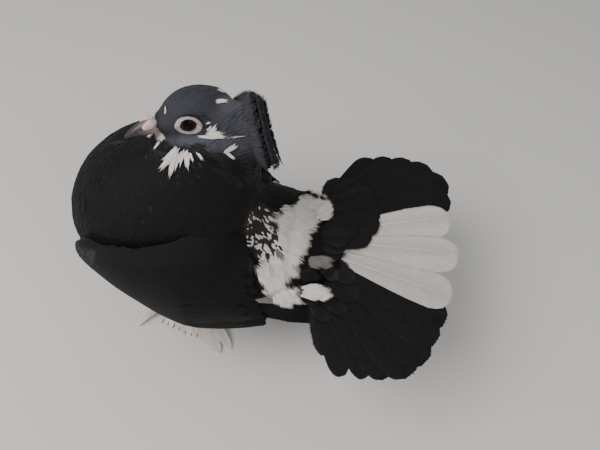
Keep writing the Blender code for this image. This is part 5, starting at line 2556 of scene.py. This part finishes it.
    def plumes(self) -> list[Plume]:
        """The primaries, the secondaries and the tiers of coverts.

        Returns:
            The feathers.
        """
        draw = np.random.default_rng(41 + self.side)
        plumes = []
        for i, tip_x in enumerate(self.primary_tips):
            share = i / (len(self.primary_tips) - 1)
            root, tip = (self.primary_root, 0.58 + 0.22 * share), (tip_x, 0.60 + 0.26 * share)
            surface = self.surface(root, tip, 9.4, 4.0)
            plumes.append(Plume(surface, tip_x - root[0], (5.4, 5.4), fullest=0.4, tip=0.12, base=0.6))
        for i in range(self.secondaries):
            share = i / (self.secondaries - 1)
            v = 0.07 + 0.89 * share
            x = 34.0 + 13.0 * share**0.6 + draw.uniform(-0.8, 0.8)
            pitch = float(self.face.height(np.array(x))) * 0.89 / (self.secondaries - 1)
            surface = self.surface((self.secondary_root, v), (x, v), 6.0, pitch)
            plumes.append(Plume(
                surface, x - self.secondary_root, (0.75 * pitch, 0.75 * pitch), fullest=0.35, tip=0.1,
                base=0.6, loose=0.03,
            ))
        for number, first, last, start, end, depth in self.covert_tiers:
            for i in range(int(number)):
                v = first + (last - first) * i / (number - 1) + draw.uniform(-0.008, 0.008)
                begin, reach = start + draw.uniform(-1, 1), end + draw.uniform(-1.5, 1.5)
                pitch = float(self.face.height(np.array(end))) * (last - first) / (number - 1)
                plumes.append(Plume(
                    self.surface((begin, v), (reach, v), depth, pitch), reach - begin,
                    (0.8 * pitch, 0.8 * pitch), fullest=0.4, tip=0.3, base=0.6, warm=0.12 * draw.uniform(),
                    loose=0.05, shaft=0.35,
                ))
        return plumes

    def build(self, underlay: Material) -> list[Piece]:
        """Makes the wing's pieces.

        Args:
            underlay: The flesh's finish.

        Returns:
            The wing's pieces.
        """
        pieces = PlumeSet("wing_" + self.side.word, self.feathering, self.plumes()).build(51 + self.side)
        flesh = coated(self.core("wing_flesh_" + self.side.word), underlay, white=0.0, slate=0.0, warm=0.0)
        return sided(self.side, pieces + [self.fine_coat(), self.bend_streaks(), self.lining(), flesh])


# Crest


@dataclass
class Crest:
    """The shell crest on the hood, feather by feather from ear to ear."""

    hood: Hood
    feathering: Feathering
    arc: float = 104.0
    near_sweep: float = 5.0
    far_sweep: float = -13.0
    hackle_count: int = 3600
    # Each tier: its number of feathers, the rings of their roots and tips, and their half width.
    tiers: tuple[tuple[Any, ...], ...] = (
        (25, (5.0, 11.5, 15.0), (8.8, 20.0, 26.0), 3.0), (23, (7.0, 11.5, 14.5), (10.8, 19.2, 25.0), 3.0),
        (19, (9.0, 10.5, 13.0), (12.6, 17.4, 22.5), 3.0),
    )
    # Each sheet of narrow feathers: the rings of its roots and tips, and the side that it lies on.
    sheets: tuple[tuple[Any, ...], ...] = (
        ((0.7, 13.0, 17.0), (7.4, 20.4, 26.2), 1), ((0.7, 13.0, 17.0), (7.4, 20.4, 26.2), 1),
        ((13.9, 17.0, 21.5), (9.6, 20.4, 26.2), -1), ((13.0, 11.0, 14.0), (14.6, 18.2, 23.4), -1),
        ((14.6, 13.5, 17.5), (11.8, 20.2, 25.8), -1),
    )

    def point(self, a: float, ring: tuple[float, ...]) -> Array:
        """A point of the crest, where a is 0 over the nape and grows towards the right ear.

        Args:
            a: The angle round the crest.
            ring: How far back a ring of the crest lies and its half sizes.

        Returns:
            The point in millimetres.
        """
        back, half_y, half_z = ring
        sweep = self.far_sweep if a > 0 else self.near_sweep
        offset = [back + sweep * (1 - math.cos(a)), half_y * math.sin(a), half_z * math.cos(a)]
        return self.hood.at + self.hood.matrix() @ np.array(offset)

    def plume(self, tier: Sequence[Any], share: float, draw: np.random.Generator) -> Plume:
        """One of the crest's feathers.

        Args:
            tier: How many feathers its tier has, the rings of their roots and tips, and their half width.
            share: Its place from the left ear (-1) to the right ear (1).
            draw: The source of chance.

        Returns:
            The feather, bowed forwards.
        """
        _, root_ring, tip_ring, half = tier
        a = math.radians(self.arc * share) + draw.uniform(-0.03, 0.03)
        reach = draw.uniform(0.94, 1.04) - 0.12 * abs(share) ** 3
        root = self.point(a, root_ring)
        tip = root + (self.point(a, tip_ring) - root) * reach
        across, back = (
            self.hood.matrix() @ np.array(way) for way in ((0.17, math.cos(a), -math.sin(a)), (1.0, 0.0, 0.0))
        )

        def point(s: Array, d: Array) -> Array:
            """A point of the feather."""
            bow = 1.6 * np.sin(math.pi * np.clip(s, 0, 1)) + 0.03 * d**2
            return root + (tip - root) * s[:, None] + across * d[:, None] - back * bow[:, None]

        warm = 0.5 * math.exp(-(((share - 0.1) / 0.35) ** 2)) + 0.15 * draw.uniform()
        return Plume(
            point, float(np.linalg.norm(tip - root)), (half, half), slate=0.85, warm=warm, base=0.55,
            fullest=0.4, tip=0.36, pitch=0.24, loose=0.12, split=0.12, shaft=0.12, web=0.78, roll=0.05,
        )

    def build(self) -> list[Piece]:
        """Makes the crest's feathers.

        Returns:
            The crest's pieces.
        """
        draw = np.random.default_rng(61)
        plumes = [
            self.plume(tier, 2 * i / (tier[0] - 1) - 1, draw) for tier in self.tiers for i in range(tier[0])
        ]
        return PlumeSet("crest", self.feathering, plumes).build(62) + [self.hackles()]

    def hackles(self) -> Piece:
        """The long narrow feathers that lie over the crest's front and back and end at its rim.

        Returns:
            The piece.
        """
        draw = np.random.default_rng(63)
        forward = self.hood.matrix() @ np.array([-1.0, 0.0, 0.0])
        roots = Roots()
        for number in range(self.hackle_count):
            a = math.radians(draw.uniform(-self.arc - 4, self.arc + 4))
            start, end, side = self.sheets[number % len(self.sheets)]
            inner = 0.5 * draw.uniform()
            root = self.point(a, tuple(np.array(start) * (1 - inner) + np.array(end) * inner))
            stretch = np.array([1.0, *draw.uniform(0.94, 1.0, 2)])
            tip = self.point(a + draw.normal(0, 0.04), tuple(np.array(end) * stretch))
            length = float(np.linalg.norm(tip - root))
            streak = draw.uniform()
            rim = math.exp(-(((a - 0.2) / 0.6) ** 2))
            out = side * forward + 0.3 * (root - self.hood.at) / 20.0
            roots.blade(
                root, (tip - root) / length, out, reach=length, breadth=0.6, slate=0.6 + 0.4 * streak,
                warm=0.3 * rim + 0.15 * streak, tone=1.3 + 0.9 * rim, map=(0.5 + a / 5, 0.5 + inner / 3),
            )
        growth = Growth(lift=0.05, ruffle=0.07, grain=0.6, depth=0.5)
        return roots.grow("crest_hackles", self.feathering, Blade.HACKLE, growth)


# Feet


@dataclass
class Foot:
    """One foot: scaled toes, claws and the slipper of stiff feathers."""

    feathering: Feathering
    side: Side
    at: Band = (-8.0, -20.0)
    # Each toe: its angle from straight ahead, its length and its claw's.
    toes: Rows = ((0, 31, 7), (22, 18, 5), (-38, 21, 6), (180, 15, 6))
    # Each slipper feather: its root's x, its tip's x and y, and its half width.
    slippers: Rows = (
        (-42, -54, -34, 2.55), (-33, -38, -29, 2.15), (-30, -33.5, -30.5, 1.95), (-27, -29, -32.5, 2.35),
        (-24, -24, -33.5, 2.15), (-21, -19, -36, 2.55), (-18, -14, -37, 2.35), (-15, -9.5, -37.5, 2.75),
        (-12, -4.5, -37.5, 2.55), (-10, 1, -41.5, 2.95), (-8, 6, -45.5, 2.95), (-6, 11, -47, 3.55),
        (-3, 18.5, -43, 3.75),
    )

    def ring(self, angle: float, out: float, wide: float, high: Array) -> Array:
        """A ring round a toe or claw.

        Args:
            angle: The toe's angle from straight ahead.
            out: The ring's distance from the ankle.
            wide: Its half width.
            high: The heights of its points over the floor.

        Returns:
            The ring's points.
        """
        a, a0 = 2 * math.pi * np.arange(len(high)) / len(high), math.radians(angle)
        ahead = np.array([-math.cos(a0), -math.sin(a0), 0.0])
        across = np.array([-ahead[1], ahead[0], 0.0])
        ring = np.array([*self.at, 0.0]) + ahead * out + across * (wide * np.cos(a))[:, None]
        return ring + ABOVE * high[:, None]

    def toe(self, angle: float, length: float) -> Piece:
        """One toe, with a flat sole and raised scutes across its top.

        Args:
            angle: The toe's direction in degrees.
            length: The toe's length.

        Returns:
            The toe's mesh object.
        """
        sections = (
            (-2.0, 2.9, 7.0), (0.5 * length, 2.5, 4.2), (0.9 * length, 2.1, 3.6), (length + 1, 1.2, 3.0),
        )
        wave = np.sin(2 * math.pi * np.arange(18) / 18)
        rings = []
        for out, half, high in smooth_rows(sections, 14):
            top = np.maximum(0, wave) * (0.22 * abs(math.sin(out * 1.35)))
            z = np.maximum(0.0, high / 2 + (high / 2) * wave * 1.12 + top)
            rings.append(self.ring(angle, out, half, z))
        return loft("toe", rings)

    def claw(self, angle: float, length: float, claw: float) -> Piece:
        """One curved claw at the end of a toe.

        Args:
            angle: The toe's direction in degrees.
            length: The toe's length.
            claw: The claw's length.

        Returns:
            The claw's mesh object.
        """
        wave = np.sin(2 * math.pi * np.arange(12) / 12)
        rings = []
        for t in np.linspace(0, 1, 12):
            half = 1.25 * (1 - t) ** 0.8 + 0.08
            z = np.maximum(0.1, 2.3 - 1.7 * t**2 + half * wave)
            rings.append(self.ring(angle, length - 1.0 + (claw + 1.0) * t, half * 0.8, z))
        return loft("claw", rings)

    def slipper(self, root_x: float, tip_x: float, tip_y: float, half: float, number: int) -> Plume:
        """One stiff feather of the foot, higher where its number is odd.

        Args:
            root_x: Its root's place along the bird.
            tip_x: Its tip's place along the bird.
            tip_y: Its tip's place across the bird.
            half: Its half width.
            number: Its number.

        Returns:
            The feather.
        """
        root = np.array([root_x, self.at[1] + 0.5, 3.6])
        tip = np.array([tip_x, tip_y, 1.3])
        along = unit((tip - root)[:2])
        across = np.array([-along[1], along[0], 0.0])

        def point(s: Array, d: Array) -> Array:
            """A point of the feather, which is arched along it."""
            arch = (3.2 + 0.5 * (number % 2)) * np.sin(math.pi * np.clip(s, 0, 1)) - 0.12 * d
            return root + (tip - root) * s[:, None] + across * d[:, None] + ABOVE * arch[:, None]

        return Plume(
            point, float(np.linalg.norm(tip - root)), (half, half), white=1.0, base=0.6, fullest=0.35,
            tip=0.55, pitch=0.42, loose=0.1, shaft=0.45,
        )

    def build(self, skin: Material, horn: Material) -> list[Piece]:
        """Makes the foot's pieces.

        Args:
            skin: The toes' finish.
            horn: The claws' finish.

        Returns:
            The foot's pieces.
        """
        word = self.side.word
        toes = [self.toe(angle, length) for angle, length, _ in self.toes]
        toes.append(ball("ankle", np.array([*self.at, 5.0]), (5.4, 5.0, 4.2), np.eye(3), 14, 22))
        toes = coated(join("toes_" + word, toes), skin)
        claws = coated(join("claws_" + word, [self.claw(*sizes) for sizes in self.toes]), horn, tip=0.8)
        plumes = [self.slipper(*sizes, number) for number, sizes in enumerate(self.slippers)]
        pieces = PlumeSet("slipper_" + word, self.feathering, plumes).build(71 + self.side)
        return sided(self.side, [toes, claws] + pieces)


# Studio


@dataclass
class Studio:
    """A pale floor, a soft key light, a fill and a dim even sky."""

    floor_size: float = 3.0
    key: float = 9.0
    fill: float = 2.6
    sky: float = 0.48

    def light(self, name: str, at: Spot, size: float, power: float) -> None:
        """One square soft light that points at the bird.

        Args:
            name: The light's name.
            at: Its place in metres.
            size: Its width in metres.
            power: Its power in watts.
        """
        lamp = bpy.data.lights.new(name, "AREA")
        lamp.size, lamp.energy = size, power
        made = link(name, lamp)
        made.location = at
        made.rotation_euler = (Vector((0, 0, 0.1)) - Vector(at)).to_track_quat("-Z", "Y").to_euler()

    def build(self) -> None:
        """Makes the floor and the lights."""
        half = self.floor_size / 2
        corners = [(-half, -half, 0), (half, -half, 0), (half, half, 0), (-half, half, 0)]
        floor = coated(raw_piece("floor", corners, [(0, 1, 2, 3)]), Plaster().make())
        self.light("key_light", (-0.5, -0.35, 0.9), 0.7, self.key)
        self.light("fill_light", (0.7, -0.6, 0.6), 0.8, self.fill)
        world = bpy.data.worlds.new("studio")
        world.use_nodes = True
        background = world.node_tree.nodes["Background"]
        background.inputs[0].default_value = linear("#e8ecf2")
        background.inputs[1].default_value = self.sky
        bpy.context.scene.world = world


def attach(pieces: Sequence[Piece], slot: str, *nodes: str) -> None:
    """Lets pieces ride on the bird and hides the solids that they replace.

    Args:
        pieces: The finished pieces.
        slot: The material slot that they show; not used.
        *nodes: The solids that they replace.
    """
    for piece in pieces:
        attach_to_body(piece, "root")
        if nodes:
            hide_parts(*nodes)
        LOG.info("%s ready: %d faces", piece.name, len(piece.data.polygons))


def main() -> None:
    """Builds the dressed pigeon."""
    logging.basicConfig(level=logging.INFO, format="%(message)s")
    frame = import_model()
    view = PhotoView()
    view.build()
    Studio().build()

    head, hood = HeadFrame(), Hood()
    feathering, underlay = Feathering(Plumage().make()), Underlay().make()
    skin = Skin(frame, head, hood).build()
    pieces = Coat(skin, head, hood, Markings(head, hood, view), feathering).build()
    skin.data.materials.clear()
    attach([coated(skin, underlay)], "black_feather", "torso", "neck", "head", "leg_left", "leg_right")
    for piece in pieces:
        attach([piece], COAT_SLOTS.get(piece.name, "black_feather"))
    attach([Flecks(SkinFinder(skin, view), feathering).build()], "white_feather")

    attach(Crest(hood, feathering).build(), "slate_feather", "crest")
    attach(Tail(TailFan(), feathering).build(), "tail_feather", "tail")
    for side in Side:
        attach(Wing(WingFace(), feathering, side).build(underlay), "black_feather", "wing_" + side.word)

    lid_skin = BareSkin("bare_eye_ring", "#b9adaa", "#a3918e", depth=0.0001).make()
    wax = BareSkin("powdered_cere", "#d6c4c0", "#cfaca6", wrinkle=0.8, roughness=0.6).make()
    toe_skin = BareSkin("scaled_toe_skin", "#a8504a", "#8e3c38", wrinkle=1.0, translucence=0.05).make()
    bill_horn = Horn("bill_horn_sheath", "#8d7a74", "#37302f").make()
    claw_horn = Horn("claw_horn", "#6d6460", "#3a3432").make()
    slit = Horn("nostril_shadow", "#241c1b", "#1a1413").make()
    wet = EyeBall().make()
    for side in Side:
        eye = Eye(head, side)
        attach([eye.ball("eyeball_" + side.word, wet)], "eye", "eye_" + side.word)
        attach([eye.lids("eye_ring_" + side.word, lid_skin)], "cere_skin")
        attach(Foot(feathering, side).build(toe_skin, claw_horn), "white_feather", "foot_" + side.word)
    bill = Bill(head)
    attach([bill.mandible("upper_bill", True, bill_horn)], "bill_horn", "bill_upper")
    attach([bill.mandible("lower_bill", False, bill_horn)], "bill_horn", "bill_lower")
    attach([bill.nostrils("nostrils", slit)], "bill_horn")
    attach([bill.cere("cere_lobes", wax)], "cere_skin", "cere")

    feathering.clear()
    LOG.info("feathers: %d triangles in all", feathering.triangles)


if __name__ == "__main__":
    main()
